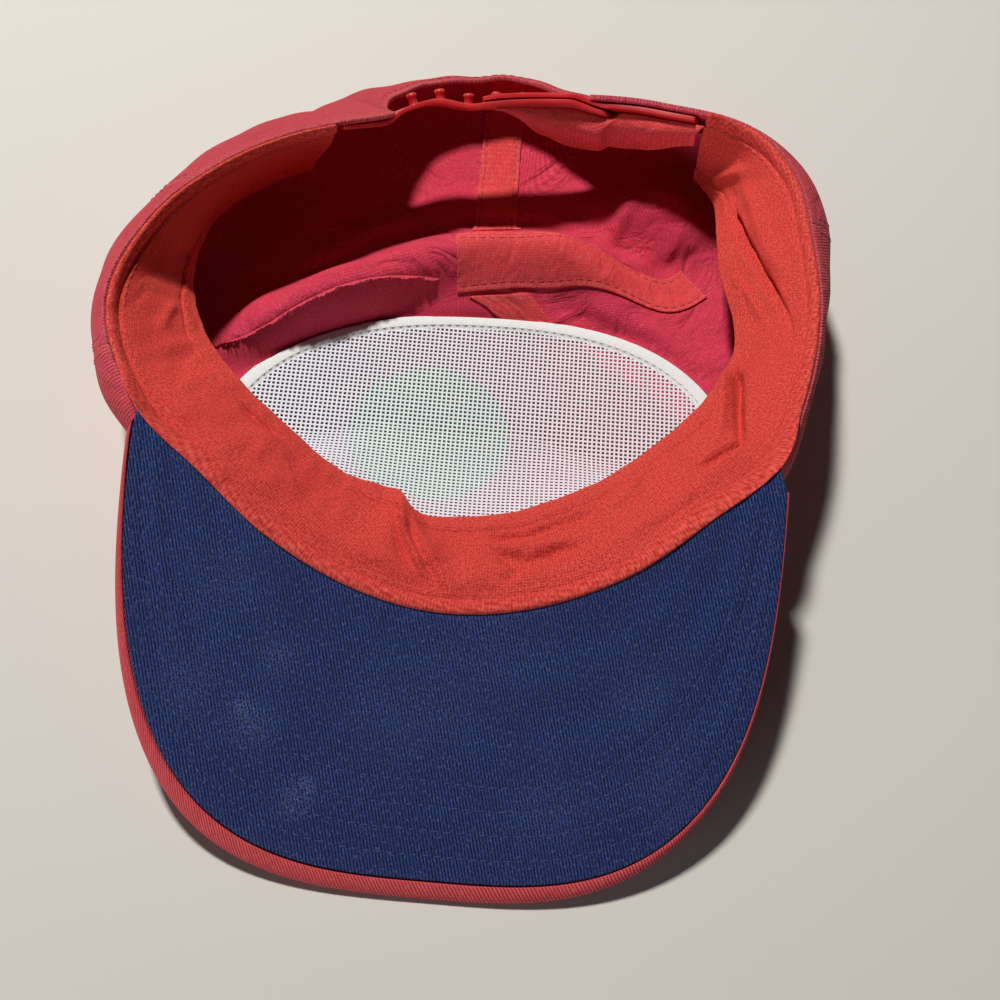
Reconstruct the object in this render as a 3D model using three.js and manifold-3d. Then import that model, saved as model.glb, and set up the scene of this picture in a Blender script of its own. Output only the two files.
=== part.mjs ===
import * as THREE from "three";
import { mergeVertices } from "three/addons/utils/BufferGeometryUtils.js";
import Module from "manifold-3d";

// A five-panel cotton cap that lies on its crown, hollow side up, with its visor towards -Y.
// Millimetres, +Z up. The soft crown has sunk, so the rim stands about 50 mm above the floor,
// the stiff front panel slopes back under the hollow and the top of the crown lies in folds.

// Thickness of each layer and the gap between neighbours
const wallThick = 1.6;
const bandThick = 1.2;
const tapeThick = 0.8;
const netThick = 0.8;
const bindThick = 1.4;
const strapThick = 1.3;
const gap = 0.35;
// Extra room under a layer whose cells do not follow those of the cloth below it
const layGap = 0.75;
const tapeGap = 1.1;
// Gap between the visor and the rim that it is sewn to
const visorGap = 0.4;

// Crown: the point where the panel seams meet, and the small hole left there
const crownX = -4;
const crownY = 76;
const crownHole = 1.2;
// Rows of cells in a panel, down the wall and along the floor
const wallRows = 7;
const floorRows = 9;
const floorShare = wallRows / (wallRows + floorRows);
const seamTries = 6;

// One row for each section round the crown, by its direction in degrees from +X.
// rim: the top edge; bow and belly: how the cloth bulges out on its way down; foot: where it
// lies on the floor; free: the lower edge of the sweatband. R is the distance from the crown
// point and Z the height.
const sections = [
  { deg: 12.7, rimR: 97.5, rimZ: 50, bowR: 116, bowZ: 43, bellyR: 118, bellyZ: 0, footR: 92, freeR: 79, freeZ: 24.5 },
  { deg: 26, rimR: 91.5, rimZ: 48, bowR: 105, bowZ: 39, bellyR: 118, bellyZ: 4, footR: 86, freeR: 85.5, freeZ: 17.2 },
  { deg: 41, rimR: 73, rimZ: 46.5, bowR: 80, bowZ: 32, bellyR: 108, bellyZ: 8, footR: 66, freeR: 80, freeZ: 17 },
  { deg: 62, rimR: 54.5, rimZ: 46, bowR: 67, bowZ: 30, bellyR: 109, bellyZ: 10, footR: 52, freeR: 60, freeZ: 18 },
  { deg: 92, rimR: 43.5, rimZ: 46, bowR: 61, bowZ: 28, bellyR: 115, bellyZ: 12, footR: 45, freeR: 50, freeZ: 19 },
  { deg: 111, rimR: 43.5, rimZ: 46, bowR: 58, bowZ: 28, bellyR: 114, bellyZ: 12, footR: 44, freeR: 50, freeZ: 19 },
  { deg: 132, rimR: 43.3, rimZ: 47, bowR: 62, bowZ: 31, bellyR: 112, bellyZ: 12, footR: 46, freeR: 52, freeZ: 19.5 },
  { deg: 149, rimR: 50.5, rimZ: 48, bowR: 81, bowZ: 39, bellyR: 100, bellyZ: 4, footR: 56, freeR: 62, freeZ: 20 },
  { deg: 163, rimR: 61.5, rimZ: 49, bowR: 93, bowZ: 42, bellyR: 102, bellyZ: 0, footR: 66, freeR: 73, freeZ: 20.5 },
  { deg: 177, rimR: 76, rimZ: 50, bowR: 102, bowZ: 42, bellyR: 112, bellyZ: 0, footR: 76, freeR: 83.5, freeZ: 20.3 },
  { deg: 190, rimR: 92.4, rimZ: 50, bowR: 110, bowZ: 44, bellyR: 120, bellyZ: 0, footR: 88, freeR: 86.5, freeZ: 19.8 },
  { deg: 205, rimR: 108.5, rimZ: 48, bowR: 119, bowZ: 42, bellyR: 120, bellyZ: 0, footR: 94, freeR: 85.5, freeZ: 26.5 },
  { deg: 222, rimR: 112.4, rimZ: 43.6, bowR: 126, bowZ: 34, bellyR: 112, bellyZ: 0, footR: 84, freeR: 84, freeZ: 29 },
  { deg: 234, rimR: 110.8, rimZ: 38, bowR: 105, bowZ: 27, bellyR: 90, bellyZ: 0, footR: 68, freeR: 83, freeZ: 25.5 },
  { deg: 246, rimR: 113.4, rimZ: 31.9, bowR: 95, bowZ: 20, bellyR: 78, bellyZ: 1, footR: 56, freeR: 84, freeZ: 22 },
  { deg: 270, rimR: 118.4, rimZ: 25.4, bowR: 96, bowZ: 17, bellyR: 76, bellyZ: 1, footR: 52, freeR: 88, freeZ: 18.5 },
  { deg: 294, rimR: 117.2, rimZ: 30.2, bowR: 98, bowZ: 20, bellyR: 78, bellyZ: 1, footR: 56, freeR: 86.3, freeZ: 20.5 },
  { deg: 308, rimR: 114.8, rimZ: 37.4, bowR: 109, bowZ: 27, bellyR: 93, bellyZ: 0, footR: 70, freeR: 86.4, freeZ: 25 },
  { deg: 320, rimR: 116, rimZ: 43.7, bowR: 123, bowZ: 33, bellyR: 114, bellyZ: 0, footR: 86, freeR: 86.6, freeZ: 29 },
  { deg: 331, rimR: 111, rimZ: 46, bowR: 117, bowZ: 38, bellyR: 114, bellyZ: 0, footR: 92, freeR: 86.6, freeZ: 28 },
  { deg: 344, rimR: 105.2, rimZ: 49, bowR: 112, bowZ: 42, bellyR: 116, bellyZ: 0, footR: 95, freeR: 86, freeZ: 25 },
  { deg: 359, rimR: 99.7, rimZ: 50, bowR: 112, bowZ: 42, bellyR: 116, bellyZ: 0, footR: 94, freeR: 78, freeZ: 26 },
];

// Folds of the sunk crown top: a ridge at x, y that runs along turn degrees. run is its reach
// along itself, near and far its reach to either side, rise its height. What is lower than
// foldTrim is left out, so that the rest of the floor is flat.
const foldTrim = 0.1;
const folds = [
  { x: -46, y: 64.5, turn: 28, run: 34, near: 5.5, far: 11, rise: 18 },
  { x: 5, y: 87, turn: 6, run: 30, near: 13, far: 10, rise: 16 },
  { x: 34, y: 84, turn: -28, run: 22, near: 8, far: 9, rise: 7 },
];

// Panel seams: direction in degrees at the rim, at the foot of the wall, at two places on the
// floor and at the crown point, and how far down the panel each of those lies
const seamPlaces = { rim: 0, foot: 0.44, far: 0.62, near: 0.8, crown: 1 };
const seams = {
  frontLeft: { rim: 211, foot: 202, far: 200.5, near: 192, crown: 168 },
  frontRight: { rim: 331, foot: 330, far: 333, near: 337, crown: 340 },
  sideLeft: { rim: 181, foot: 179, far: 172, near: 158, crown: 142 },
  sideRight: { rim: 362, foot: 372, far: 361, near: 368, crown: 368 },
  back: { rim: 90, foot: 90, far: 90, near: 90, crown: 90 },
};

// Half-moon cut-out at the back: its middle and half width in degrees, and its share of the wall
const archMid = 93;
const archHalf = 36;
const archDeep = 0.38;

// Visor: half width and depth of its outline from the corner line, how square the outline is,
// its slope and side arch, and the layers of its edge
const visorX = 1;
const visorHalf = 85.3;
const visorDeep = 108.5;
const visorSquare = 3.1;
const visorTipY = -110.7;
const visorSlope = 0.37;
const visorArch = 2.5;
const visorCorner = 7;
const visorNip = 0.04;
const coverThick = 2.4;
const undersideThick = 1;
const visorFrom = 222.4;
const visorTo = 319.6;
// Where the layers of the front begin and end, in degrees
const frontEnds = { from: 214, full: 226, fade: 316, to: 328 };
// Width of the red cloth that shows round the navy, from the left corner to the right one
const visorWrap = [5.5, 4.8, 4, 1.9, 1.2];

// Net stiffener: the superellipse of its top edge and its binding
const netX = 2;
const netY = 8;
const netHalf = 82;
const netTall = 60;
const netSquare = 2.4;
const netTilt = 0.05;
const bindWide = 4.8;
const netFrom = 233;
const netTo = 311;
const netReach = 0.985;
const netStart = 5;

// Sweatband: its ends beside the strap, how far it stands up at the visor seam, its pinched fold
const bandFrom = 150.5;
const bandTo = 392.5;
const bandWelt = 1.1;
const pinchDeg = 262;
const pinchWide = 3;
const pinchRise = 3;

// Size strap: where each half starts and ends, its width and how steeply it stands across the
// cut-out, its share of the wall where it is sewn to it, its pegs and holes
const pegStrapFrom = 52;
const pegStrapTo = 147;
const holeStrapFrom = 35;
const holeStrapTo = 92;
const strapWide = 18;
const strapSteep = 50;
const strapSteeper = 12;
const strapTurn = 4;
const strapTop = 0.02;
const strapFoot = 0.22;
const strapMiddle = 0.5;
const strapStand = wallThick + layGap;
const pegPitch = 9.2;
const pegCount = 6;
const pegFirst = 117.3;
const holeCount = 5;
const pegRadius = 1.5;
const pegTall = 3.6;
const holeRadius = 2.1;
const holeEnds = { from: 39, to: 88 };
// Where the peg half comes away from behind the other half, and the step of the search for a pitch
const pegHalfIn = 94;
const pegHalfOut = 112;
const stationStep = 0.1;

// Seam tapes
// The right one follows a seam between two distances from the crown point; inset is how far it
// lies over to the other side of the seam, and hand the side that it is sewn to
const tapeWide = 13;
const rightTape = { from: -4, to: 78, inset: 1.4, hand: 1, pieces: 22 };
const tapeStep = 0.5;
// The back one follows the rows of its panel, up the wall to the hem of the cut-out
const backTape = { from: 1, to: 12, inset: 0.5 };
// The front one starts beside the crown point and ends at the net's binding
const frontTapeX = 0.2;
const frontTapeY = -2.6;
const frontTapeTop = 18.5;
const frontTapeSkew = 2.4;
const frontTapeFrom = 0.524;
const frontTapeWide = 0.068;

// Colours and surface of each material
const crimson = { color: 0xb5283f, roughness: 0.9, metalness: 0 };
const orangeRed = { color: 0xd0302a, roughness: 0.95, metalness: 0 };
const navy = { color: 0x1d2a55, roughness: 0.9, metalness: 0 };
const white = { color: 0xe4e7e6, roughness: 0.85, metalness: 0 };
const redPlastic = { color: 0xc4262e, roughness: 0.35, metalness: 0 };

const degToRad = Math.PI / 180;

function smooth(low, high, value) {
  return THREE.MathUtils.smoothstep(value, low, high);
}

// A smooth curve through values at known places: b and c lie round the place asked for
function smoothCurve(a, b, c, d, place) {
  const span = c.at - b.at;
  const s = (place - b.at) / span;
  const slopeB = (c.value - a.value) / (c.at - a.at) * span;
  const slopeC = (d.value - b.value) / (d.at - b.at) * span;
  const s2 = s * s;
  const s3 = s2 * s;
  return (2 * s3 - 3 * s2 + 1) * b.value + (s3 - 2 * s2 + s) * slopeB
    + (3 * s2 - 2 * s3) * c.value + (s3 - s2) * slopeC;
}

// A column of the section table at any direction, as a smooth closed curve
function column(name, deg) {
  const turn = THREE.MathUtils.euclideanModulo(deg, 360);
  const count = sections.length;
  let after = sections.findIndex((row) => row.deg > turn);
  if (after < 0) {
    after = count;
  }
  const row = (step) => {
    const index = after + step;
    const found = sections[THREE.MathUtils.euclideanModulo(index, count)];
    return { at: found.deg + 360 * Math.floor(index / count), value: found[name] };
  };
  return smoothCurve(row(-2), row(-1), row(0), row(1), turn);
}

// Section of the crown wall as a curve of distance and height, from the rim to the foot
const wallCache = new Map();
function wallCurve(deg) {
  const key = deg.toFixed(4);
  if (!wallCache.has(key)) {
    const spot = (r, z) => new THREE.Vector2(column(r, deg), z ? column(z, deg) : 0);
    const curve = new THREE.CubicBezierCurve(
      spot("rimR", "rimZ"), spot("bowR", "bowZ"), spot("bellyR", "bellyZ"), spot("footR", null));
    wallCache.set(key, curve);
  }
  return wallCache.get(key);
}

function foldHeight(x, y) {
  let height = 0;
  for (const fold of folds) {
    const cos = Math.cos(fold.turn * degToRad);
    const sin = Math.sin(fold.turn * degToRad);
    const along = (x - fold.x) * cos + (y - fold.y) * sin;
    const across = (y - fold.y) * cos - (x - fold.x) * sin;
    const wide = across < 0 ? fold.near : fold.far;
    height += fold.rise * Math.exp(-((along / fold.run) ** 2) - (across / wide) ** 2);
  }
  return Math.max(height - foldTrim, 0);
}

function polar(deg, r, z) {
  const x = crownX + r * Math.cos(deg * degToRad);
  const y = crownY + r * Math.sin(deg * degToRad);
  return new THREE.Vector3(x, y, z);
}

// Outer face of the crown: depth runs 0 to 1 down the wall and 1 to 2 along the floor
function crownSkin(deg, depth) {
  const curve = wallCurve(deg);
  const flat = curve.v3.x * (2 - depth);
  const spot = depth < 1 ? curve.getPoint(depth) : new THREE.Vector2(flat, 0);
  const point = polar(deg, spot.x, spot.y);
  point.z += foldHeight(point.x, point.y);
  return point;
}

// A point lifted off the outer face of the crown into the hollow
function crownPoint(deg, depth, lift) {
  const stepDeg = 0.2;
  const stepDepth = 0.004;
  const low = Math.max(depth - stepDepth, 0);
  const high = Math.min(depth + stepDepth, 1.999);
  const around = crownSkin(deg + stepDeg, depth).sub(crownSkin(deg - stepDeg, depth));
  const down = crownSkin(deg, high).sub(crownSkin(deg, low));
  const inward = around.cross(down).normalize();
  return crownSkin(deg, depth).addScaledVector(inward, lift);
}

// The same for a place given in plan, on the floor or on the sloping front
function crownPlan(x, y, lift) {
  const r = Math.hypot(x - crownX, y - crownY);
  const deg = Math.atan2(y - crownY, x - crownX) / degToRad;
  const curve = wallCurve(deg);
  let depth = 2 - r / curve.v3.x;
  if (depth < 1) {
    let near = 1;
    let far = 0.98;
    while (far > 0 && curve.getPoint(far).x < r) {
      near = far;
      far -= 0.02;
    }
    const share = (r - curve.getPoint(near).x) / (curve.getPoint(far).x - curve.getPoint(near).x);
    depth = near + (far - near) * share;
  }
  return crownPoint(deg, Math.max(depth, 0), lift);
}

// A closed sheet: a box of columns by rows, one cell thick, with every corner put in its place
function bentSheet(columns, rows, place) {
  const box = new THREE.BoxGeometry(1, 1, 1, columns, rows, 1);
  box.deleteAttribute("normal");
  box.deleteAttribute("uv");
  const spots = box.attributes.position;
  for (let k = 0; k < spots.count; k += 1) {
    const point = place(spots.getX(k) + 0.5, spots.getY(k) + 0.5, spots.getZ(k) + 0.5);
    spots.setXYZ(k, point.x, point.y, point.z);
  }
  return facingOut(mergeVertices(box, 1e-4));
}

// Turns the faces of a closed shape outwards
function facingOut(geometry) {
  const spots = geometry.attributes.position;
  const order = geometry.index.array;
  const a = new THREE.Vector3();
  const b = new THREE.Vector3();
  const c = new THREE.Vector3();
  let volume = 0;
  for (let k = 0; k < order.length; k += 3) {
    a.fromBufferAttribute(spots, order[k]);
    b.fromBufferAttribute(spots, order[k + 1]);
    c.fromBufferAttribute(spots, order[k + 2]);
    volume += a.dot(b.cross(c));
  }
  if (volume < 0) {
    for (let k = 0; k < order.length; k += 3) {
      const swap = order[k + 1];
      order[k + 1] = order[k + 2];
      order[k + 2] = swap;
    }
  }
  return geometry;
}

// Direction of a seam at a share of the way down the panel
function seamDeg(seam, share) {
  const places = Object.keys(seamPlaces).map((key) => ({ at: seamPlaces[key], value: seam[key] }));
  const last = places.length - 1;
  const after = Math.max(1, Math.min(last, places.findIndex((place) => place.at >= share)));
  const [b, c] = [places[after - 1], places[after]];
  const a = after > 1 ? places[after - 2] : { at: 2 * b.at - c.at, value: 2 * b.value - c.value };
  const d = after < last ? places[after + 1] : { at: 2 * c.at - b.at, value: 2 * c.value - b.value };
  return smoothCurve(a, b, c, d, share);
}

// A seam in plan at a distance from the crown point, on the floor of the crown
function seamPlan(seam, r) {
  let deg = seam.crown;
  for (let k = 0; k < seamTries; k += 1) {
    const share = seamPlaces.crown - r / column("footR", deg) * (seamPlaces.crown - floorShare);
    deg = seamDeg(seam, share);
  }
  return polar(deg, r, 0);
}

// Depth at which the cloth starts: the rim, or the hem of the half-moon cut-out
function hemDepth(deg) {
  const turn = THREE.MathUtils.euclideanModulo(deg, 360);
  const share = (turn - archMid) / archHalf;
  if (Math.abs(share) >= 1) {
    return 0;
  }
  return archDeep * Math.sqrt(1 - share * share);
}

// Depth of a row of a panel, from its hem down the wall and along the floor
function rowDepth(deg, row) {
  const hem = hemDepth(deg);
  const onWall = Math.min(row / wallRows, 1);
  const onFloor = Math.max((row - wallRows) / floorRows, 0);
  return onFloor > 0
    ? 1 + onFloor * (1 - crownHole / column("footR", deg))
    : hem + (1 - hem) * onWall;
}

// A crown panel between two seams
function crownPanel(from, to, columns) {
  const rows = wallRows + floorRows;
  return bentSheet(columns, rows, (u, v, side) => {
    const start = seamDeg(from, v);
    const end = seamDeg(to, v);
    let deg = start + (end - start) * u;
    const depth = rowDepth(deg, v * rows);
    const skin = crownSkin(deg, depth);
    const r = Math.hypot(skin.x - crownX, skin.y - crownY);
    deg += (0.5 - u) * gap / r / degToRad;
    return crownPoint(deg, depth, side * wallThick);
  });
}

// Share of the front, between the visor corners, where the net lies under the sweatband
function frontShare(deg) {
  return smooth(frontEnds.from, frontEnds.full, deg) * (1 - smooth(frontEnds.fade, frontEnds.to, deg));
}

// The sweatband leans in from the rim like a funnel
function bandPoint(deg, share, side) {
  const curve = wallCurve(THREE.MathUtils.euclideanModulo(deg, 360));
  const front = frontShare(deg);
  const lean = curve.v1.clone().sub(curve.v0).normalize();
  const inward = new THREE.Vector2(lean.y, -lean.x);
  const stand = wallThick + layGap + front * (netThick + gap);
  const top = curve.v0.clone().addScaledVector(inward, stand);
  const free = new THREE.Vector2(column("freeR", deg), column("freeZ", deg));
  const run = free.clone().sub(top).normalize();
  top.addScaledVector(run, -bandWelt * front);
  const spot = top.clone().lerp(free, share);
  const face = new THREE.Vector2(run.y, -run.x);
  spot.addScaledVector(face, side * bandThick);
  const pinch = Math.exp(-(((deg - pinchDeg) / pinchWide) ** 2));
  return polar(deg, spot.x, spot.y + pinchRise * pinch * share);
}

// Underneath of the visor board at a place in plan
function visorFloor(x, y) {
  return visorSlope * (y - visorTipY) + visorArch * ((x - visorX) / visorHalf) ** 2;
}

function visorInner(u) {
  const deg = visorFrom + (visorTo - visorFrom) * u;
  return polar(deg, column("rimR", deg) + visorGap, 0);
}

function visorOuter(u, grow) {
  const start = Math.asin((visorCorner / visorDeep) ** (visorSquare / 2));
  const turn = Math.PI + start + (Math.PI - 2 * start) * u;
  const power = 2 / visorSquare;
  const cos = Math.cos(turn);
  const x = Math.sign(cos) * Math.abs(cos) ** power;
  const y = -(Math.abs(Math.sin(turn)) ** power);
  return new THREE.Vector3(visorX + x * (visorHalf + grow), y * (visorDeep + grow), 0);
}

function wrapAt(u) {
  const place = u * (visorWrap.length - 1);
  const k = Math.min(Math.floor(place), visorWrap.length - 2);
  const share = place - k;
  const blend = share * share * (3 - 2 * share);
  return visorWrap[k] * (1 - blend) + visorWrap[k + 1] * blend;
}

// Rows of the cover from the seam to the edge: inset from the edge or share of the way to the
// wrap, and the low and high side of the solid there
const coverRows = [
  { share: 0, past: 0, low: 0, high: coverThick },
  { share: 0.25, past: 0, low: 0, high: coverThick },
  { share: 0.5, past: 0, low: 0, high: coverThick },
  { share: 0.75, past: 0, low: 0, high: coverThick },
  { share: 1, past: 0, low: 0, high: coverThick },
  { share: 1, past: 0.12, low: 0, high: coverThick + undersideThick + gap },
  { share: 1, past: 0.7, low: 0.3, high: coverThick + undersideThick + gap + 0.2 },
  { share: 1, past: 1, low: 1.2, high: coverThick + undersideThick - 0.3 },
];

function visorCover() {
  const rows = coverRows.length - 1;
  return bentSheet(32, rows, (u, v, side) => {
    const row = coverRows[Math.round(v * rows)];
    const inner = visorInner(u);
    const wrap = wrapAt(u);
    const outer = visorOuter(u, wrap);
    const edge = outer.clone().lerp(inner, wrap / outer.distanceTo(inner));
    const spot = inner.lerp(edge, row.share).lerp(outer, row.past);
    spot.z = visorFloor(spot.x, spot.y) + row.low + (row.high - row.low) * side;
    return spot;
  });
}

function visorUnderside() {
  return bentSheet(32, 5, (u, v, side) => {
    const inner = visorInner(u);
    const wrap = wrapAt(u);
    const outer = visorOuter(u, wrap);
    const inset = wrap + gap;
    const edge = outer.clone().lerp(inner, inset / outer.distanceTo(inner));
    const along = u < 0.5 ? 1 : -1;
    const nip = gap * (1 - smooth(0, visorNip, Math.min(u, 1 - u)));
    const spot = inner.lerp(edge, v);
    spot.x += along * nip;
    spot.z = visorFloor(spot.x, spot.y) + coverThick + gap + undersideThick * side;
    return spot;
  });
}

// Top edge of the net in plan, moved inwards by inset
function netEdge(u, inset) {
  const spot = (share) => {
    const x = -netReach * Math.cos(Math.PI * share);
    const y = (1 - Math.abs(x) ** netSquare) ** (1 / netSquare);
    return new THREE.Vector2(netX + netHalf * x, netY + netTall * y + netTilt * netHalf * x);
  };
  const point = spot(u);
  const run = spot(Math.min(u + 0.002, 1)).sub(spot(Math.max(u - 0.002, 0))).normalize();
  return point.add(new THREE.Vector2(run.y, -run.x).multiplyScalar(inset));
}

function frontNet() {
  const low = wallThick + layGap;
  return bentSheet(22, 10, (u, v, side) => {
    const deg = netFrom + (netTo - netFrom) * u;
    const seam = polar(deg, column("rimR", deg) - netStart, 0);
    const top = netEdge(u, bindWide + gap);
    const x = seam.x + (top.x - seam.x) * v;
    const y = seam.y + (top.y - seam.y) * v;
    return crownPlan(x, y, low + netThick * side);
  });
}

function netBinding() {
  const low = wallThick + layGap;
  return bentSheet(40, 2, (u, v, side) => {
    const spot = netEdge(u, bindWide * v);
    return crownPlan(spot.x, spot.y, low + bindThick * side);
  });
}

// Seam tape on the floor of the crown
function seamTape(seam, { from, to, inset, hand, pieces }) {
  const low = wallThick + tapeGap;
  const spot = (r) => {
    const place = seamPlan(seam, Math.abs(r));
    return r < 0 ? polar(seam.crown, r, 0) : place;
  };
  return bentSheet(pieces, 4, (u, v, side) => {
    const r = from + (to - from) * u;
    const centre = spot(r);
    const run = spot(r + tapeStep).sub(spot(r - tapeStep)).normalize();
    const across = hand * (tapeWide * v - inset);
    return crownPlan(centre.x - run.y * across, centre.y + run.x * across, low + tapeThick * side);
  });
}

// The tape of the back seam
function backSeamTape({ from, to, inset }) {
  const low = wallThick + tapeGap;
  return bentSheet(to - from, 4, (u, v, side) => {
    const row = from + (to - from) * u;
    const seam = seams.back.crown;
    const skin = crownSkin(seam, rowDepth(seam, row));
    const deg = seam - (tapeWide * v - inset) / (skin.y - crownY) / degToRad;
    return crownPoint(deg, rowDepth(deg, row), low + tapeThick * side);
  });
}

// The short end of tape that shows between the crown point and the net's binding
function frontTape() {
  const low = wallThick + layGap;
  return bentSheet(4, 3, (u, v, side) => {
    const start = new THREE.Vector2(crownX + frontTapeX, crownY + frontTapeY);
    start.x += frontTapeTop * u;
    start.y += frontTapeSkew * u;
    const end = netEdge(frontTapeFrom + frontTapeWide * u, -1);
    const spot = start.lerp(end, v);
    return crownPlan(spot.x, spot.y, low + tapeThick * side);
  });
}

// A point of the size strap: it stands steeply across the cut-out and lies along the cloth at its
// ends. share runs across the strap from the rim, lift is the height off the outer face.
function strapPoint(deg, share, lift) {
  const right = 1 - smooth(archMid - archHalf, archMid, deg);
  const steep = (strapSteep + strapSteeper * right) * degToRad;
  const rim = wallCurve(deg).v0;
  const stand = lift - strapStand;
  const r = rim.x + strapWide * share * Math.cos(steep) - stand * Math.sin(steep);
  const z = rim.y - strapWide * share * Math.sin(steep) - stand * Math.cos(steep);
  const along = crownPoint(deg, strapTop + (strapFoot - strapTop) * share, lift);
  const sewn = smooth(-strapTurn, strapTurn, Math.abs(deg - archMid) - archHalf);
  return polar(deg, r, z).lerp(along, sewn);
}

function strapSheet(from, to, pieces, lift) {
  return bentSheet(pieces, 2, (u, v, side) => {
    const deg = from + (to - from) * u;
    return strapPoint(deg, v, lift(deg) + strapThick * side);
  });
}

const holeLift = () => strapStand;
const pegLift = (deg) => strapStand + (strapThick + layGap) * (1 - smooth(pegHalfIn, pegHalfOut, deg));

// Directions of the pegs and holes, a fixed pitch apart along the strap
function strapStations(count) {
  const stations = [];
  let deg = pegFirst;
  for (let k = 0; k < count; k += 1) {
    stations.push(deg);
    const here = strapPoint(deg, strapMiddle, 0);
    let next = deg;
    while (strapPoint(next, strapMiddle, 0).distanceTo(here) < pegPitch) {
      next -= stationStep;
    }
    deg = next;
  }
  return stations;
}

// A round pin square to the strap at a station, between two lifts off the wall
function strapPin(deg, radius, low, high) {
  const start = strapPoint(deg, strapMiddle, low);
  const end = strapPoint(deg, strapMiddle, high);
  const pin = new THREE.CylinderGeometry(radius, radius, start.distanceTo(end), 8);
  const axis = end.clone().sub(start).normalize();
  const turn = new THREE.Quaternion().setFromUnitVectors(new THREE.Vector3(0, 1, 0), axis);
  pin.applyQuaternion(turn);
  const centre = start.add(end).multiplyScalar(0.5);
  pin.translate(centre.x, centre.y, centre.z);
  return pin;
}

const wasm = await Module();
wasm.setup();

function toSolid(geometry) {
  const bare = geometry.clone();
  bare.deleteAttribute("normal");
  bare.deleteAttribute("uv");
  const joined = facingOut(mergeVertices(bare, 1e-4));
  const mesh = new wasm.Mesh({
    numProp: 3,
    vertProperties: new Float32Array(joined.attributes.position.array),
    triVerts: new Uint32Array(joined.index.array),
  });
  return new wasm.Manifold(mesh);
}

function fromSolid(solid) {
  const mesh = solid.getMesh();
  const geometry = new THREE.BufferGeometry();
  geometry.setAttribute("position", new THREE.BufferAttribute(mesh.vertProperties, 3));
  geometry.setIndex(new THREE.BufferAttribute(mesh.triVerts, 1));
  return geometry;
}

// Pegs stand on the outer face of their half; those under the other half come up through holes
function pegStrap() {
  let solid = toSolid(strapSheet(pegStrapFrom, pegStrapTo, 22, pegLift));
  for (const deg of strapStations(pegCount)) {
    const base = pegLift(deg);
    solid = solid.add(toSolid(strapPin(deg, pegRadius, base + 0.5, base - pegTall)));
  }
  return fromSolid(solid);
}

function holeStrap() {
  let solid = toSolid(strapSheet(holeStrapFrom, holeStrapTo, 22, holeLift));
  for (const deg of strapStations(pegCount + holeCount)) {
    if (deg < holeEnds.to && deg > holeEnds.from) {
      const base = holeLift(deg);
      solid = solid.subtract(toSolid(strapPin(deg, holeRadius, base - 2, base + strapThick + 2)));
    }
  }
  return fromSolid(solid);
}

// The same seam, counted from another whole turn
function around(seam, turns) {
  const turned = {};
  for (const key of Object.keys(seam)) {
    turned[key] = seam[key] + 360 * turns;
  }
  return turned;
}

const cap = new THREE.Group();

function addPiece(name, geometry, look) {
  geometry.computeVertexNormals();
  const piece = new THREE.Mesh(geometry, new THREE.MeshStandardMaterial(look));
  piece.name = name;
  cap.add(piece);
  return piece;
}

addPiece("front_panel", crownPanel(seams.frontLeft, seams.frontRight, 24), crimson);
addPiece("side_panel_right", crownPanel(seams.frontRight, seams.sideRight, 7), crimson);
addPiece("back_panel_right", crownPanel(around(seams.sideRight, -1), seams.back, 15), crimson);
addPiece("back_panel_left", crownPanel(seams.back, seams.sideLeft, 15), crimson);
addPiece("side_panel_left", crownPanel(seams.sideLeft, seams.frontLeft, 7), crimson);
addPiece("front_mesh", frontNet(), white);
addPiece("mesh_binding", netBinding(), white);
addPiece("sweatband", bentSheet(68, 3, (u, v, side) =>
  bandPoint(bandFrom + (bandTo - bandFrom) * u, v, side)), orangeRed);
addPiece("visor_cover", visorCover(), crimson);
addPiece("visor_underside", visorUnderside(), navy);
addPiece("strap_pegs", pegStrap(), redPlastic);
addPiece("strap_holes", holeStrap(), redPlastic);
addPiece("seam_tape_back", backSeamTape(backTape), orangeRed);
addPiece("seam_tape_right", seamTape(around(seams.sideRight, -1), rightTape), orangeRed);
addPiece("seam_tape_front", frontTape(), orangeRed);

// The origin is the middle of the bounding box, on the floor
const box = new THREE.Box3().setFromObject(cap);
const centre = box.getCenter(new THREE.Vector3());
cap.position.set(-centre.x, -centre.y, -box.min.z);

export default cap;
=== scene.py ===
import bpy
import bmesh
import numpy as np
from mathutils import Matrix, Vector


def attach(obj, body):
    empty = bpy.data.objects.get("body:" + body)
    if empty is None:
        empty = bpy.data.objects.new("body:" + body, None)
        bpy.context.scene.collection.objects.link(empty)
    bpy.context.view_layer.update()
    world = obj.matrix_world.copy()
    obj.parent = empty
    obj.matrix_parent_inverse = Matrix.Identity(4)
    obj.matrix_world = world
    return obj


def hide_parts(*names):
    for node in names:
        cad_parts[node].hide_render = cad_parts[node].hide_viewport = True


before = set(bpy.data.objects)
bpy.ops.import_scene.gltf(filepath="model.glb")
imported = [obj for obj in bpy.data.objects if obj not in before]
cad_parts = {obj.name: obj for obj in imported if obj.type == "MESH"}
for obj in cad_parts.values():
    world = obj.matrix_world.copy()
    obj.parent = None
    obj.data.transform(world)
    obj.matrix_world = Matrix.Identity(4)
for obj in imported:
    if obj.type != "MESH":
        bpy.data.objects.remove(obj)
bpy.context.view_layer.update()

print("cap: solids loaded")

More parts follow.
